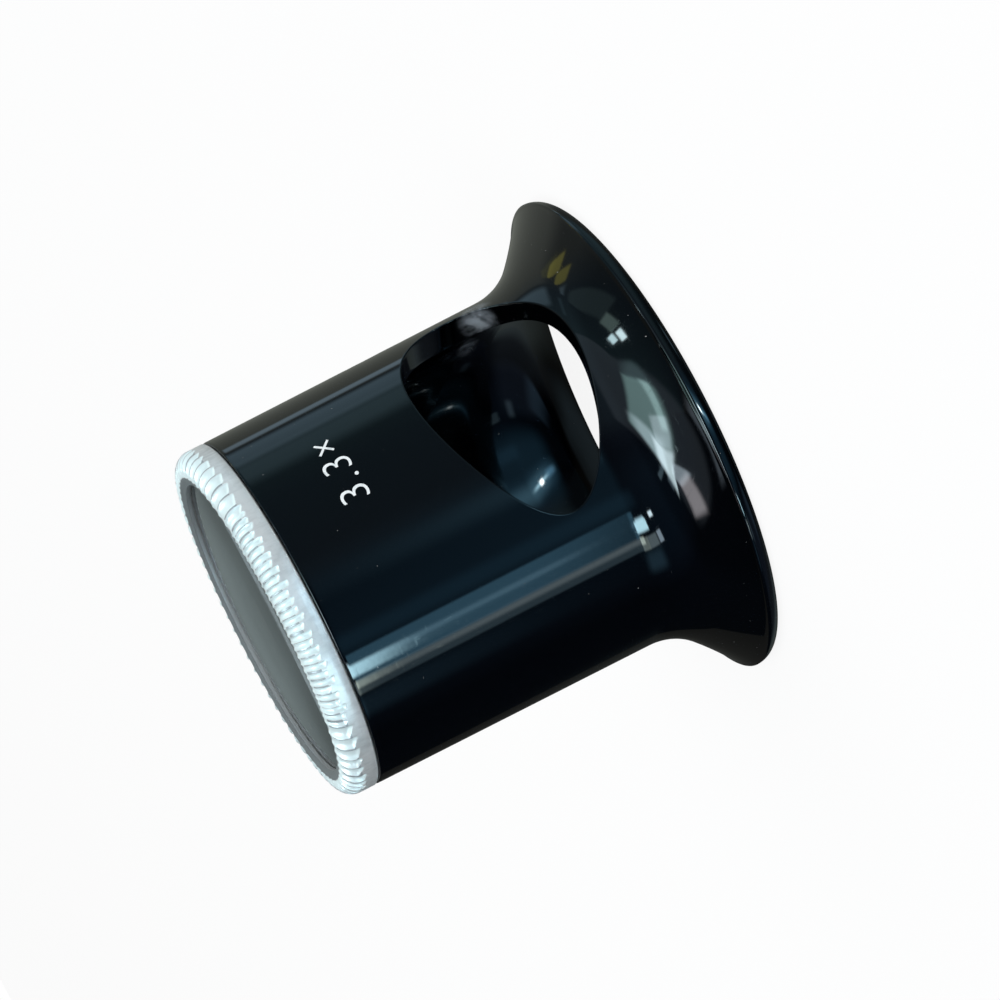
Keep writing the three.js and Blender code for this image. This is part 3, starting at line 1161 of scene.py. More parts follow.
@dataclass
class LensRing:
    """The knurled ring: threaded skirt, smooth band, knurled corner and front lip."""

    band_radius: float = 14.1
    corner: float = 1.25
    crest_width: float = 0.3
    lip_radius: float = 11.8
    lip_drop: float = 0.25
    lip_thickness: float = 0.36
    bore: float = 12.35
    bore_top: float = 32.914
    skirt_radius: float = 12.9
    skirt_end: float = 29.146
    skirt_chamfer: float = 0.2
    relief_depth: float = 0.18
    relief_width: float = 0.4
    shoulder: float = 31.0
    edge_chamfer: float = 0.12
    edge_round: float = 0.03
    lip_step: float = 0.05
    band_gap: float = 0.05
    knurl_lead: float = 0.2
    teeth: int = 70
    cut_depth: float = 0.32
    cut_start: float = -0.28
    cut_run: float = 0.32
    cut_fade: float = 0.2
    crest_cut: float = 0.14
    slant: float = 0.40
    ridge: float = 0.13
    dark_share: float = 0.8
    full_share: float = 0.5
    plain_below: float = 0.05
    wobble: float = 0.03
    swell: float = 0.08
    slant_spread: float = 0.35
    start_spread: float = 0.05
    split_middle: float = math.radians(-34.0)
    split_reach: float = math.radians(36.0)
    split_start: float = 0.24
    split_depth: float = 0.75
    seed: int = 7
    columns_per_tooth: int = 22
    band_rows: int = 7
    corner_rows: int = 24
    crest_rows: int = 3
    slope_rows: int = 6
    mark_margin: float = 0.01
    wall_reach: float = 0.2
    sharp_fold: float = 50.0
    thread_height: float = 0.12
    thread_gaps: tuple[float, float] = (0.35, 0.05)
    crest: float = field(default_factory=lambda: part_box("lens_ring")[1][2] / MM)

    def profile(self) -> tuple[np.ndarray, np.ndarray, np.ndarray]:
        """The closed outline, with the path length over the knurled corner.

        Returns:
            Points (r, z), the length u along the corner from where it starts to bend, which is
            OFF_THE_CORNER elsewhere, and the inward normal at each point.
        """
        inner = self.band_radius - self.corner
        lead = self.knurl_lead - self.cut_start
        bend = self.crest - self.corner
        relief_radius = self.skirt_radius - self.relief_depth
        relief_end = self.shoulder - self.relief_width
        body = rounded([
            (self.bore, self.skirt_end, 0.0),
            (self.skirt_radius - self.skirt_chamfer, self.skirt_end, self.edge_round),
            (self.skirt_radius, self.skirt_end + self.skirt_chamfer, self.edge_round),
            (self.skirt_radius, relief_end, self.edge_round),
            (relief_radius, relief_end, self.edge_round),
            (relief_radius, self.shoulder, self.edge_round),
            (self.band_radius, self.shoulder, self.edge_chamfer),
            (self.band_radius, bend - lead - self.band_gap, 0.0),
        ], steps=1)
        rise = np.linspace(bend - lead, bend, self.band_rows + 1)[:-1]
        band = np.stack([np.full(self.band_rows, self.band_radius), rise], axis=1)
        sweep = np.linspace(0, math.pi / 2, self.corner_rows + 1)
        corner = np.stack([inner + self.corner * np.cos(sweep),
                           bend + self.corner * np.sin(sweep)], axis=1)
        across = np.linspace(inner, inner - self.crest_width, self.crest_rows + 1)[1:]
        crest = np.stack([across, np.full(self.crest_rows, self.crest)], axis=1)
        fall = np.linspace(0, 1, self.slope_rows + 1)[1:, None]
        lip_top = np.array([self.lip_radius, self.crest - self.lip_drop])
        slope = crest[-1] * (1 - fall) + lip_top * fall
        lip = rounded([(self.lip_radius, lip_top[1] - self.lip_step, 0.0),
                       (self.lip_radius, lip_top[1] - self.lip_thickness, self.edge_round),
                       (self.bore, self.bore_top, 0.0)], steps=2)
        parts = [body, band, corner, crest, slope, lip]
        path = np.concatenate(parts)
        length = np.full(len(path), OFF_THE_CORNER)
        start = len(body)
        end = start + sum(len(part) for part in parts[1:5])
        steps = np.linalg.norm(np.diff(path[start:end], axis=0), axis=1)
        length[start:end] = np.concatenate([[0.0], np.cumsum(steps)]) - lead
        ahead, behind = np.roll(path, -1, 0), np.roll(path, 1, 0)
        tangent = ahead - behind
        normal = np.stack([-tangent[:, 1], tangent[:, 0]], axis=1)
        normal = normal / np.linalg.norm(normal, axis=1)[:, None]
        return path, length, normal

    def cuts(self, length: np.ndarray, azimuths: np.ndarray) -> tuple[np.ndarray, np.ndarray]:
        """How deep the knurl is cut at each corner of the grid.

        A cut is a trough with a slanted end. Across it the depth falls as 1 - |p|^3, where p runs
        from -1 to 1 between its ridges. Along it the depth rises as a quarter ellipse,
        D sqrt(1 - (1 - w)^2), with w from 0 at its start to 1 after the run. The start lies later
        by the slant times (1 - p) / 2. The depth stays D over half the corner and eases to what
        the crest has room for. In one stretch of the ring each cut is split in two.

        Args:
            length: Path length over the corner for each row.
            azimuths: Azimuth of each column.

        Returns:
            Depths in millimetres, rows by columns, and the mark. It runs from BAND to BRIGHT over
            the edge of a cut, is RIDGE between cuts, and BRIGHT all round near the crest.
        """
        rng = np.random.default_rng(self.seed)
        over = math.pi / 2 * self.corner
        pitch = 2 * math.pi / self.teeth
        arc = pitch * self.band_radius
        away = np.abs(azimuths - self.split_middle)
        away = np.minimum(away, 2 * math.pi - away)
        split = away < self.split_reach
        row = length[:, None]
        knurled = row > OFF_THE_CORNER
        ease = np.clip((row - over * self.full_share) / (over * (1 - self.full_share)), 0, 1)
        fade = np.clip(1 - (row - over - self.crest_width) / self.cut_fade, 0, 1)
        most = (self.cut_depth + (self.crest_cut - self.cut_depth) * ease ** 2) * fade ** 2
        depth = np.zeros((len(length), len(azimuths)))
        inside = np.zeros_like(depth)
        kinds = ((1 / 2, 1, 0.0, 1.0, ~split), (1 / 4, 2, 0.0, self.split_depth, split),
                 (3 / 4, 2, self.split_start, self.split_depth, split))
        for shift, count, late, deep, there in kinds:
            place = azimuths / pitch - shift
            tooth = np.round(place).astype(int) % self.teeth
            wobble = rng.normal(0, self.wobble, self.teeth)[tooth]
            swell = 1 + rng.normal(0, self.swell, self.teeth)[tooth]
            slant = self.slant * (1 + rng.normal(0, self.slant_spread, self.teeth)[tooth])
            begin = self.cut_start + late + rng.normal(0, self.start_spread, self.teeth)[tooth]
            space = (arc / count - self.ridge) / 2
            p = np.clip((place - np.round(place) + wobble) * arc / space, -1, 1)
            w = np.clip((row - begin - slant / count * (1 - p) / 2) / self.cut_run, 0, 1)
            ellipse = np.sqrt(1 - (1 - w) ** 2)
            share = np.where(there & knurled, (1 - np.abs(p) ** 3) * ellipse, 0)
            depth = np.maximum(depth, share * most * swell * deep)
            inside = np.maximum(inside, share)
        # Ridges between the cuts, below the crest, are marked for the finish's painted shade.
        started = row > self.cut_start + self.cut_run + split * self.split_start
        below_crest = row < over * self.dark_share
        ridge = (inside < self.plain_below) & started & below_crest
        # Cuts and the crest are marked bright: fresh-cut metal, which the finish paints with a
        # highlight.
        bright = np.where(below_crest, np.sqrt(inside), Mark.BRIGHT.value)
        return depth, np.where(ridge, Mark.RIDGE.value, bright) * knurled

    def build(self) -> tuple[np.ndarray, np.ndarray, np.ndarray]:
        """The ring as a grid of revolution, cut in by the knurl along its normals.

        Returns:
            Corners, faces, and the mark of the cuts at each corner.
        """
        path, length, normal = self.profile()
        columns = self.teeth * self.columns_per_tooth
        azimuths = 2 * math.pi * np.arange(columns) / columns
        depth, mark = self.cuts(length, azimuths)
        # The lip's slope is marked for the finish's dark grey, a painted reflection of the lens.
        slope = length > math.pi / 2 * self.corner + self.crest_width + self.mark_margin
        inner = (path[:, 1] > self.shoulder) & (path[:, 0] <= self.lip_radius + self.wall_reach)
        mark[inner] = Mark.LIP_WALL.value
        mark[slope] = Mark.LIP_SLOPE.value
        grid = turned(path, azimuths) + turned(normal, azimuths) * depth[..., None]
        return grid, quads(len(path), columns, True, True), mark.ravel()

    def dress(self) -> list[bpy.types.Object]:
        """Builds the ring and its thread.

        Returns:
            The pieces.
        """
        finish = TurnedAluminium()
        aluminium = finish.make()
        corners, faces, mark = self.build()
        ring = solid_mesh("knurled_ring", corners, faces, aluminium, self.sharp_fold)
        attribute = ring.data.attributes.new(finish.mark_attribute, "FLOAT", "POINT")
        attribute.data.foreach_set("value", mark.astype(np.float32))
        start, rest = self.thread_gaps
        ridge = Thread(self.skirt_radius, self.thread_height, self.skirt_end + start,
                       self.shoulder - self.relief_width - rest,
                       math.pi + start / Thread.pitch * 2 * math.pi)
        thread = solid_mesh("ring_thread", *ridge.build(), aluminium)
        for piece in (ring, thread):
            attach(piece, Body.RING.value)
        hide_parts("lens_ring")
        return [ring, thread]


@dataclass
class Lens:
    """The biconvex lens, with a small ground bevel at each edge."""

    radius: float = 12.2
    surface_radius: float = 78.5
    thickness: float = 5.6
    bevel: float = 0.12
    columns: int = 180
    rows: int = 48
    edge_rows: int = 4
    sharp_fold: float = 30.0
    back: float = field(default_factory=lambda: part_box("lens")[0][2] / MM)

    def build(self) -> tuple[np.ndarray, np.ndarray]:
        """Two spherical caps and a cylinder edge: z = back + S - sqrt(S^2 - r^2) behind, and the
        mirror image of it in front.

        Returns:
            Corners and faces, with each pole closed by a fan of triangles.
        """
        r = np.linspace(0, self.radius - self.bevel, self.rows + 1)[1:]
        sag = self.surface_radius - np.sqrt(self.surface_radius ** 2 - r ** 2)
        rear = np.stack([r, self.back + sag], axis=1)
        front = np.stack([r, self.back + self.thickness - sag], axis=1)[::-1]
        low, high = rear[-1, 1] + self.bevel, front[0, 1] - self.bevel
        edge = np.stack([np.full(self.edge_rows, self.radius),
                         np.linspace(low, high, self.edge_rows)], axis=1)
        path = np.concatenate([rear, edge, front])
        azimuths = 2 * math.pi * np.arange(self.columns) / self.columns
        grid = turned(path, azimuths).reshape(-1, 3)
        poles = np.array([[0, 0, self.back], [0, 0, self.back + self.thickness]])
        faces = quads(len(path), self.columns, False, True)
        ring = np.arange(self.columns)
        after = np.roll(ring, -1)
        last = (len(path) - 1) * self.columns
        rear_pole = np.full(self.columns, len(grid))
        fans = [np.stack([rear_pole, after, ring, ring], axis=1),
                np.stack([rear_pole + 1, last + ring, last + after, last + after], axis=1)]
        return np.concatenate([grid, poles]), np.concatenate([faces, *fans])

    def dress(self) -> list[bpy.types.Object]:
        """Builds the lens.

        Returns:
            The piece in a list.
        """
        glass = solid_mesh("biconvex_lens", *self.build(), PolishedGlass().make(),
                           self.sharp_fold)
        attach(glass, Body.LENS.value)
        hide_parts("lens")
        return [glass]


@dataclass
class PowerMark:
    """The magnification printed on the barrel in white, its tops towards the ring."""

    text: str = "3.3×"
    azimuth: float = math.radians(0.2)
    middle: float = 24.55
    letter_height: float = 2.35
    height_share: float = 0.73
    stroke: float = -0.045
    spacing: float = 1.12
    curve_steps: int = 10
    ink: float = 0.012
    ink_lift: float = 0.2
    weld: float = 0.1
    strip: float = 0.2

    def build(self, housing: Housing) -> bpy.types.Object:
        """Prints the figures on the barrel: a flat letter's x becomes an azimuth, x / R, its y a
        height, and its thickness a distance out from the surface.

        Args:
            housing: The housing that carries the print.

        Returns:
            The print.
        """
        curve = bpy.data.curves.new("power_mark_outline", "FONT")
        curve.body = self.text
        curve.align_x, curve.align_y = "CENTER", "CENTER"
        curve.space_character = self.spacing
        curve.size = self.letter_height / self.height_share
        curve.offset = self.stroke
        curve.extrude = self.ink
        curve.resolution_u = self.curve_steps
        flat = add_object("power_mark_outline", curve)
        mesh = bpy.data.meshes.new_from_object(
            flat.evaluated_get(bpy.context.evaluated_depsgraph_get()))
        bpy.data.objects.remove(flat)
        shape = bmesh.new()
        shape.from_mesh(mesh)
        bmesh.ops.remove_doubles(shape, verts=shape.verts, dist=self.ink * self.weld)
        reach = max(abs(corner.co.x) for corner in shape.verts)
        for x in np.arange(-reach, reach, self.strip):
            bmesh.ops.bisect_plane(shape, geom=[*shape.verts, *shape.edges, *shape.faces],
                                   plane_co=(x, 0, 0), plane_no=(1, 0, 0))
        bmesh.ops.triangulate(shape, faces=shape.faces)
        bmesh.ops.dissolve_degenerate(shape, edges=shape.edges, dist=self.ink * self.weld)
        shape.to_mesh(mesh)
        shape.free()
        place = np.empty(len(mesh.vertices) * 3)
        mesh.vertices.foreach_get("co", place)
        place = place.reshape(-1, 3)
        height = self.middle + place[:, 1]
        surface = np.interp(height, *housing.sides()[0].T[::-1])
        azimuth = self.azimuth + place[:, 0] / housing.barrel_radius
        out = surface + place[:, 2] + self.ink * self.ink_lift
        wrapped = np.stack([out * np.sin(azimuth), -out * np.cos(azimuth), height], axis=1) * MM
        mesh.vertices.foreach_set("co", wrapped.ravel())
        mesh.materials.clear()
        mesh.materials.append(PrintInk().make())
        mesh.update()
        print_piece = add_object("power_mark", mesh)
        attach(print_piece, Body.HOUSING.value)
        return print_piece


# The studio


@dataclass(frozen=True)
class Softbox:
    """A rectangular light that shades the loupe but doesn't show in its polish."""

    name: str
    azimuth: float
    elevation: float
    size: float
    radiance: Colour
    distance: float = 1.0
    aim_height: float = 18.0

    def hang(self) -> None:
        """Hangs the light at its azimuth and elevation and turns it to the loupe.

        Its energy is its radiance times its area times the watts that Blender counts for each.
        """
        azimuth, elevation = math.radians(self.azimuth), math.radians(self.elevation)
        way = Vector((math.sin(azimuth) * math.cos(elevation),
                      -math.cos(azimuth) * math.cos(elevation), math.sin(elevation)))
        lamp = bpy.data.lights.new(self.name, "AREA")
        lamp.size = self.size
        strongest = max(self.radiance)
        lamp.color = [part / strongest for part in self.radiance]
        lamp.energy = strongest * WATTS_PER_RADIANCE * self.size ** 2
        holder = add_object(self.name, lamp)
        place = Vector((0, 0, self.aim_height * MM)) + way * self.distance
        facing = way.to_track_quat("Z", "Y").to_matrix().to_4x4()
        holder.matrix_world = Matrix.Translation(place) @ facing
        holder.visible_camera = False
        holder.visible_glossy = False


@dataclass(frozen=True)
class Glow:
    """A soft-edged patch of the room as the polish shows it. Angles are in degrees."""

    azimuth: float
    elevation: float
    half_width: float
    half_height: float
    colour: Colour
    soft: float = 1.5
    soft_height: float = 0.0
    lean: float = 0.0

    def strength(self, azimuth: Term, elevation: Term) -> Term:
        """The patch's strength in a direction.

        It is the product of a smooth step down across the azimuth and one along the elevation.
        The middle's azimuth leans by a given share of the elevation.

        Args:
            azimuth: The direction's azimuth.
            elevation: The direction's elevation.

        Returns:
            From 0 to 1.
        """
        up = elevation - self.elevation
        across = azimuth - self.azimuth
        if self.lean:
            across = across - up * self.lean
        across = across.math("WRAP", 180.0, -180.0).math("ABSOLUTE")
        tall = self.soft_height or self.soft
        inside = 1.0 - across.rise(self.half_width - self.soft, self.half_width + self.soft)
        return inside * (1.0 - up.math("ABSOLUTE").rise(self.half_height - tall,
                                                        self.half_height + tall))


@dataclass(frozen=True)
class Panel:
    """A straight-edged patch of the ceiling, as a plan one unit above the loupe shows it.

    The direction (x, y, z) meets that plan at (u, v) = (x / z, y / z). Each edge is a smooth step
    of a u + b v from low to high, and the patch is their product.
    """

    colour: Colour
    edges: tuple[tuple[float, float, float, float], ...]

    def strength(self, recipe: Recipe, spot: bpy.types.NodeSocket) -> Term:
        """The patch's strength where a direction meets the ceiling.

        Args:
            recipe: The world's node tree.
            spot: The vector (u, v, 0).

        Returns:
            From 0 to 1.
        """
        product = None
        for a, b, low, high in self.edges:
            along = recipe.node("ShaderNodeVectorMath", {"operation": "DOT_PRODUCT"},
                                {0: spot, 1: (a, b, 0.0)})
            step = recipe.term(along.outputs["Value"]).rise(low, high)
            product = step if product is None else product * step
        return product


WINDOW = (
    Glow(-93.0, -2.6, 4.4, 4.6, (2.0, 2.5, 2.4), 1.0, 0.5),
    Glow(-90.2, -4.8, 2.6, 2.6, (5.4, 6.4, 5.6), 1.2, 0.6),
    Glow(-93.0, 8.0, 4.2, 6.0, (1.6, 2.1, 2.3), 1.0, 1.5),
    Glow(-92.8, 18.0, 4.2, 2.6, (4.0, 5.2, 6.2), 0.8),
    Glow(-81.0, 0.3, 3.8, 7.9, (10.5, 17.0, 19.5), 1.6, 0.6),
    Glow(-76.5, 1.0, 1.0, 6.0, (7.0, 11.0, 13.0), 1.5, 1.0),
    Glow(-77.0, 17.5, 1.8, 2.6, (15.0, 19.0, 21.0), 0.9),
)
SILL = (
    Glow(-79.5, -8.4, 9.2, 2.6, (0.46, 1.18, 1.75), 1.0, 1.4),
    Glow(-93.0, -11.5, 4.0, 5.5, (0.40, 0.64, 0.78), 0.9, 3.0),
    Glow(-90.3, -10.5, 1.9, 4.0, (1.15, 1.35, 1.40), 1.7, 3.0),
    Glow(-79.0, -8.9, 1.6, 1.5, (0.65, 1.10, 1.40), 1.6, 0.4),
)
HAZE = (
    Glow(-106.0, 3.0, 7.0, 10.0, (0.18, 0.40, 0.58), 5.0),
    Glow(-63.0, -9.0, 5.0, 14.0, (0.05, 0.15, 0.24), 4.0, 6.0),
    Glow(147.5, 22.0, 5.0, 24.0, (0.24, 0.305, 0.315), 3.5, 12.0),
)
PALE_WALL = (
    Glow(81.0, 3.0, 8.0, 24.0, (0.34, 0.52, 0.64), 3.0),
    Glow(64.0, -8.0, 9.0, 8.0, (0.22, 0.36, 0.42), 6.0),
    Glow(96.5, -12.0, 2.6, 6.0, (0.42, 0.62, 0.80), 1.4, 3.0),
    Glow(116.5, 4.0, 24.0, 24.0, (0.13, 0.14, 0.12), 2.0, 5.0),
    Glow(72.0, 35.5, 8.0, 1.2, (0.10, 0.18, 0.22), 1.2),
    Glow(87.5, 38.5, 3.0, 1.2, (0.28, 0.42, 0.50), 1.0),
)
BRASS = (
    Glow(94.6, 36.8, 2.4, 2.4, (0.72, 0.66, 0.10), 0.5),
    Glow(99.8, 32.6, 2.4, 2.6, (0.72, 0.66, 0.10), 0.5),
    Glow(100.5, 29.0, 3.0, 3.0, (0.12, 0.12, 0.02), 1.0),
)
LAMPS = (
    Glow(-66.0, 58.0, 2.6, 6.5, (0.9, 1.4, 1.7), 1.2),
    Glow(-82.0, 63.0, 6.0, 2.5, (0.9, 1.3, 1.6), 1.5),
)
CEILING_LEFT = (0.97, 0.22, -0.53, -0.41)
CEILING_BACK = (-0.68, 0.73, -0.44, -0.33)
CEILING = (
    Panel((1.9, 3.2, 3.1), (CEILING_LEFT, (-0.334, -0.942, 0.085, 0.125),
                            (-0.82, -0.57, -0.02, 0.01), CEILING_BACK)),
    Panel((2.8, 4.2, 4.2), ((-0.334, -0.942, 0.115, 0.125), (0.334, 0.942, -0.165, -0.145),
                            (1.0, 0.0, -0.13, -0.09), (-0.82, -0.57, -0.02, 0.0))),
    Panel((0.5, 0.85, 0.9), ((0.82, 0.57, -0.02, 0.01), (-0.82, -0.57, -0.12, -0.08),
                             (-0.334, -0.942, 0.085, 0.125), CEILING_BACK)),
    Panel((8.5, 10.0, 11.0), (CEILING_LEFT, (-1.0, 0.0, 0.185, 0.24),
                               (-0.334, -0.942, 0.09, 0.115), (0.0, 1.0, -0.32, -0.20))),
    Panel((4.0, 5.0, 5.6), (CEILING_LEFT, (-1.0, 0.0, 0.12, 0.21),
                            (0.0, -1.0, 0.06, 0.14), (0.0, 1.0, -0.85, -0.46))),
    Panel((3.6, 4.3, 4.8), ((1.0, 0.0, -0.21, -0.19), (-1.0, 0.0, 0.03, 0.05),
                            (-0.334, -0.942, 0.10, 0.125), (0.0, 1.0, -0.22, -0.17))),
    Panel((4.0, 3.8, 4.0), ((0.936, 0.351, -0.33, -0.30), (-0.936, -0.351, 0.22, 0.25),
                            (0.0, -1.0, -0.35, -0.28), (0.0, 1.0, 0.05, 0.10))),
    Panel((3.6, 4.4, 5.0), ((1.0, 0.0, -0.38, -0.35), (-1.0, 0.0, 0.26, 0.28),
                            (0.0, -1.0, -0.12, -0.08), (0.0, 1.0, -0.04, 0.0))),
    Panel((0.24, 0.29, 0.34), ((1.0, 0.0, -0.50, -0.40), (-0.66, -0.75, -0.02, 0.02),
                               (0.0, -1.0, -0.80, -0.20))),
    Panel((0.9, 1.1, 1.3), ((0.745, 0.666, 0.015, 0.03), (-0.745, -0.666, -0.08, -0.06),
                            (0.0, 1.0, 0.0, 0.05), (0.0, -1.0, -0.30, -0.22))),
    Panel((13.0, 17.0, 18.0), ((1.0, 0.0, 0.392, 0.402), (-1.0, 0.0, -0.472, -0.462),
                               (0.0, 1.0, -0.207, -0.198), (0.0, -1.0, 0.158, 0.168))),
    Panel((10.0, 14.0, 15.0), ((1.0, 0.0, 0.415, 0.425), (-1.0, 0.0, -0.488, -0.478),
                               (0.0, 1.0, -0.262, -0.253), (0.0, -1.0, 0.213, 0.223))),
    Panel((0.9, 1.3, 1.2), ((1.0, 0.0, 0.485, 0.50), (-1.0, 0.0, -0.63, -0.60),
                            (0.0, 1.0, -0.225, -0.215), (0.0, -1.0, 0.14, 0.155))),
    Panel((0.12, 0.18, 0.18), ((1.0, 0.0, 0.60, 0.63), (-1.0, 0.0, -1.15, -1.05),
                               (0.0, 1.0, -0.22, -0.19), (0.0, -1.0, 0.04, 0.07))),
)
UNDER_CUP = (
    Glow(-34.4, -35.5, 1.8, 2.6, (46.0, 50.0, 50.0), 1.5, 2.2, 0.29),
    Glow(-34.4, -34.5, 1.0, 11.0, (7.0, 11.5, 13.5), 1.8, 6.0, 0.29),
    Glow(-33.0, -30.0, 6.0, 16.0, (0.60, 1.30, 1.70), 6.0, 9.0, 0.29),
    Glow(-40.0, -52.0, 3.0, 7.0, (1.0, 2.4, 3.6), 3.0, 5.0, 0.29),
    Glow(-36.0, -38.0, 9.0, 22.0, (0.20, 0.55, 0.85), 8.0, 9.0, 0.25),
    Glow(-46.0, -34.0, 30.0, 24.0, (0.08, 0.24, 0.38), 13.0, 12.0),
    Glow(-118.0, -42.0, 24.0, 18.0, (0.05, 0.07, 0.11), 8.0),
    Glow(-162.0, -42.0, 22.0, 20.0, (0.04, 0.05, 0.06), 8.0),
    Glow(176.0, -32.0, 12.0, 16.0, (0.06, 0.08, 0.08), 8.0),
    Glow(150.0, -66.0, 22.0, 8.0, (0.06, 0.09, 0.11), 8.0, 6.0),
)
BELOW_RIM = (
    Glow(42.0, -36.0, 52.0, 14.0, (0.10, 0.18, 0.21), 12.0),
    Glow(-98.0, -32.0, 7.0, 3.0, (0.30, 0.46, 0.58), 3.0),
    Glow(-122.0, -62.0, 20.0, 7.0, (0.11, 0.20, 0.30), 6.0),
    Glow(70.0, -74.0, 22.0, 3.5, (0.28, 0.44, 0.56), 3.0),
)


@dataclass(frozen=True)
class Studio:
    """A white table in a dim room, with a window on the left and a bright ceiling light.

    The camera sees white, and so does what looks down or steeply up through glass. Polish shows
    the room's own tones, and what looks up through the lens at a slant sees it dark behind.
    """

    floor_size: float = 3000.0
    floor_white: float = 0.84
    floor_glow: float = 0.90
    fill: float = 0.54
    fill_slope: Triple = (0.46, -0.78, 0.44)
    least_fill: float = 0.05
    camera_place: Triple = (-154.437, -243.009, 72.137)
    camera_target: Triple = (0.353, -0.225, 12.805)
    camera_roll: float = 117.034
    lens_length: float = 141.4255
    sensor_width: float = 36.0
    clip: tuple[float, float] = (0.01, 10.0)
    lights: tuple[Softbox, ...] = (
        Softbox("ceiling_light", -30.0, 62.0, 0.8, (1.5, 1.6, 1.7)),
        Softbox("window_light", -66.0, 56.0, 0.5, (0.9, 1.1, 1.2)),
    )
    glows: tuple[Glow, ...] = (WINDOW + SILL + HAZE + PALE_WALL + BRASS + LAMPS + UNDER_CUP
                               + BELOW_RIM)
    room: tuple[tuple[float, Colour], ...] = (
        (-180.0, (0.010, 0.014, 0.020)),
        (-130.0, (0.020, 0.032, 0.060)),
        (-112.0, (0.050, 0.090, 0.160)),
        (-98.0, (0.050, 0.110, 0.200)),
        (-55.0, (0.080, 0.150, 0.255)),
        (-36.0, (0.062, 0.098, 0.165)),
        (-26.0, (0.090, 0.130, 0.210)),
        (-15.0, (0.190, 0.285, 0.385)),
        (35.0, (0.190, 0.320, 0.420)),
        (52.0, (0.210, 0.380, 0.460)),
        (85.0, (0.120, 0.190, 0.250)),
        (102.0, (0.190, 0.215, 0.205)),
        (132.0, (0.160, 0.170, 0.160)),
        (165.0, (0.062, 0.064, 0.060)),
    )
    shade: tuple[tuple[float, float], ...] = (
        (-90.0, 0.10), (-62.0, 0.16), (-20.0, 0.45), (0.0, 0.50), (24.0, 0.70), (40.0, 0.80),
        (50.0, 0.50), (90.0, 0.40),
    )
    ceiling_edges: tuple[float, float] = (0.5, 0.6)
    least_rise: float = 0.2
    back_of_lens: Colour = (0.013, 0.017, 0.017)
    bright_edges: tuple[float, float] = (0.80, 0.95)

    def world(self) -> None:
        """Lights the room.

        A ramp over the azimuth, shaded by one over the elevation, gives the walls' tone. The
        ceiling and the glows are added to it. Polish that is seen through the lens shows the
        bare walls.
        """
        world = bpy.data.worlds.new("dim_room")
        bpy.context.scene.world = world
        recipe = Recipe(world)
        way = recipe.node("ShaderNodeTexCoord").outputs["Generated"]
        axes = recipe.node("ShaderNodeSeparateXYZ", sockets={0: way})
        x, y, z = (recipe.term(axes.outputs[axis]) for axis in "XYZ")
        azimuth = x.math("ARCTAN2", y * -1.0) * math.degrees(1)
        elevation = z.math("ARCSINE") * math.degrees(1)
        walls = recipe.node(
            "ShaderNodeValToRGB",
            {"stops": [((place + 180) / 360, colour) for place, colour in self.room]},
            {"Fac": azimuth / 360 + 0.5}).outputs["Color"]
        shade = recipe.node(
            "ShaderNodeValToRGB",
            {"stops": [((place + 90) / 180, (grey,) * 3) for place, grey in self.shade]},
            {"Fac": elevation / 180 + 0.5}).outputs["Color"]
        tone = recipe.node("ShaderNodeVectorMath", {"operation": "MULTIPLY"},
                           {0: walls, 1: shade}).outputs[0]
        bare_walls = recipe.node("ShaderNodeBackground", sockets={"Color": tone})
        over = z.math("MAXIMUM", self.least_rise)
        spot = recipe.node("ShaderNodeCombineXYZ", sockets={0: x / over, 1: y / over}).outputs[0]
        overhead = z.rise(*self.ceiling_edges)
        for panel in CEILING:
            tone = recipe.lit(tone, panel.colour, panel.strength(recipe, spot) * overhead)
        for glow in self.glows:
            tone = recipe.lit(tone, glow.colour, glow.strength(azimuth, elevation))
        slope = recipe.node("ShaderNodeVectorMath", {"operation": "DOT_PRODUCT"},
                            {0: way, 1: self.fill_slope})
        fill = recipe.term(slope.outputs["Value"]) + self.fill
        path = recipe.node("ShaderNodeLightPath")
        polish = recipe.term(path.outputs["Is Glossy Ray"])
        through = recipe.term(path.outputs["Is Transmission Ray"])
        upward = z.above(0.0) * (1.0 - z.rise(*self.bright_edges))
        seen = recipe.term(path.outputs["Is Camera Ray"]) + through * (1.0 - upward)
        even = recipe.node("ShaderNodeBackground",
                           sockets={"Strength": fill.math("MAXIMUM", self.least_fill)})
        room = recipe.node("ShaderNodeBackground", sockets={"Color": tone})
        white = recipe.node("ShaderNodeBackground", sockets={"Color": (1.0,) * 4})
        behind = recipe.node("ShaderNodeBackground", sockets={"Color": (*self.back_of_lens, 1.0)})
        past_lens = recipe.term(path.outputs["Transmission Depth"]).above(0.0)
        lit = self._either(recipe, polish, even, room)
        lit = self._either(recipe, polish * past_lens, lit, bare_walls)
        lit = self._either(recipe, through * upward, lit, behind)
        recipe.finish_surface(self._either(recipe, seen, lit, white))

    @staticmethod
    def _either(recipe: Recipe, factor: Term, first: bpy.types.Node,
                second: bpy.types.Node) -> bpy.types.Node:
        """Chooses between two shaders.

        Args:
            recipe: The world's node tree.
            factor: 0 for the first, 1 for the second.
            first: A shader node.
            second: A shader node.

        Returns:
            The mixing node.
        """
        return recipe.node("ShaderNodeMixShader",
                           sockets={0: factor, 1: first.outputs[0], 2: second.outputs[0]})

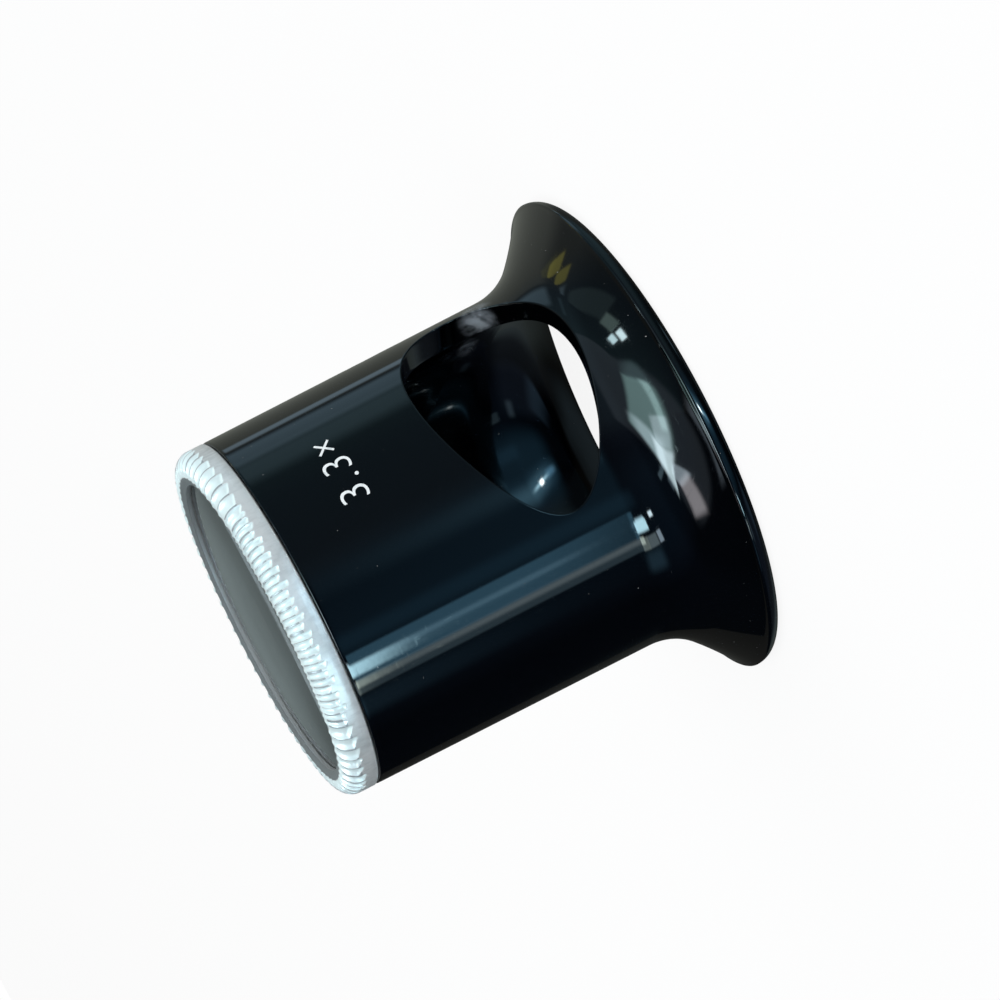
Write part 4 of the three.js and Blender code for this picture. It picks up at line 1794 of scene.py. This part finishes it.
    def floor(self) -> None:
        """Lays the table: white to the camera, with a faint shadow under the loupe."""
        half = self.floor_size / 2 * MM
        mesh = bpy.data.meshes.new("studio_floor")
        mesh.from_pydata([(-half, -half, 0), (half, -half, 0), (half, half, 0), (-half, half, 0)],
                         [], [(0, 1, 2, 3)])
        material = bpy.data.materials.new("white_table")
        recipe = Recipe(material)
        lit = recipe.node("ShaderNodeBsdfDiffuse",
                          sockets={"Color": (self.floor_white,) * 3 + (1.0,)})
        glow = recipe.node("ShaderNodeEmission", sockets={"Strength": 1.0})
        path = recipe.node("ShaderNodeLightPath")
        seen = recipe.term(path.outputs["Is Camera Ray"]) + recipe.term(
            path.outputs["Is Transmission Ray"])
        share = seen.math("MINIMUM", 1.0) * self.floor_glow
        both = recipe.node("ShaderNodeMixShader", sockets={0: share, 1: lit.outputs[0],
                                                           2: glow.outputs[0]})
        recipe.finish_surface(both)
        mesh.materials.append(material)
        table = add_object("studio_floor", mesh)
        table.visible_glossy = False

    def camera(self) -> None:
        """Sets the camera at the photograph's angle, rolled as the loupe lies in it."""
        data = bpy.data.cameras.new("view_of_the_loupe")
        data.lens = self.lens_length
        data.sensor_width = self.sensor_width
        data.clip_start, data.clip_end = self.clip
        holder = add_object("view_of_the_loupe", data)
        place = Vector(self.camera_place) * MM
        target = Vector(self.camera_target) * MM
        look = (target - place).to_track_quat("-Z", "Y").to_matrix().to_4x4()
        roll = Matrix.Rotation(math.radians(-self.camera_roll), 4, "Z")
        holder.matrix_world = Matrix.Translation(place) @ look @ roll
        bpy.context.scene.camera = holder

    def set_up(self) -> None:
        """Puts up the room, the table, the lights and the camera."""
        bpy.context.scene.view_settings.view_transform = "Standard"
        self.world()
        self.floor()
        for light in self.lights:
            light.hang()
        self.camera()


def main() -> None:
    """Builds the loupe's pieces in order and sets up the studio."""
    logging.basicConfig(level=logging.INFO, format="%(message)s")
    housing = Housing()
    pieces = [*housing.dress(), *Lens().dress(), *LensRing().dress()]
    pieces.append(PowerMark().build(housing))
    for piece in pieces:
        LOG.info("%s: %d faces", piece.name, len(piece.data.polygons))
    Studio().set_up()


if __name__ == "__main__":
    main()
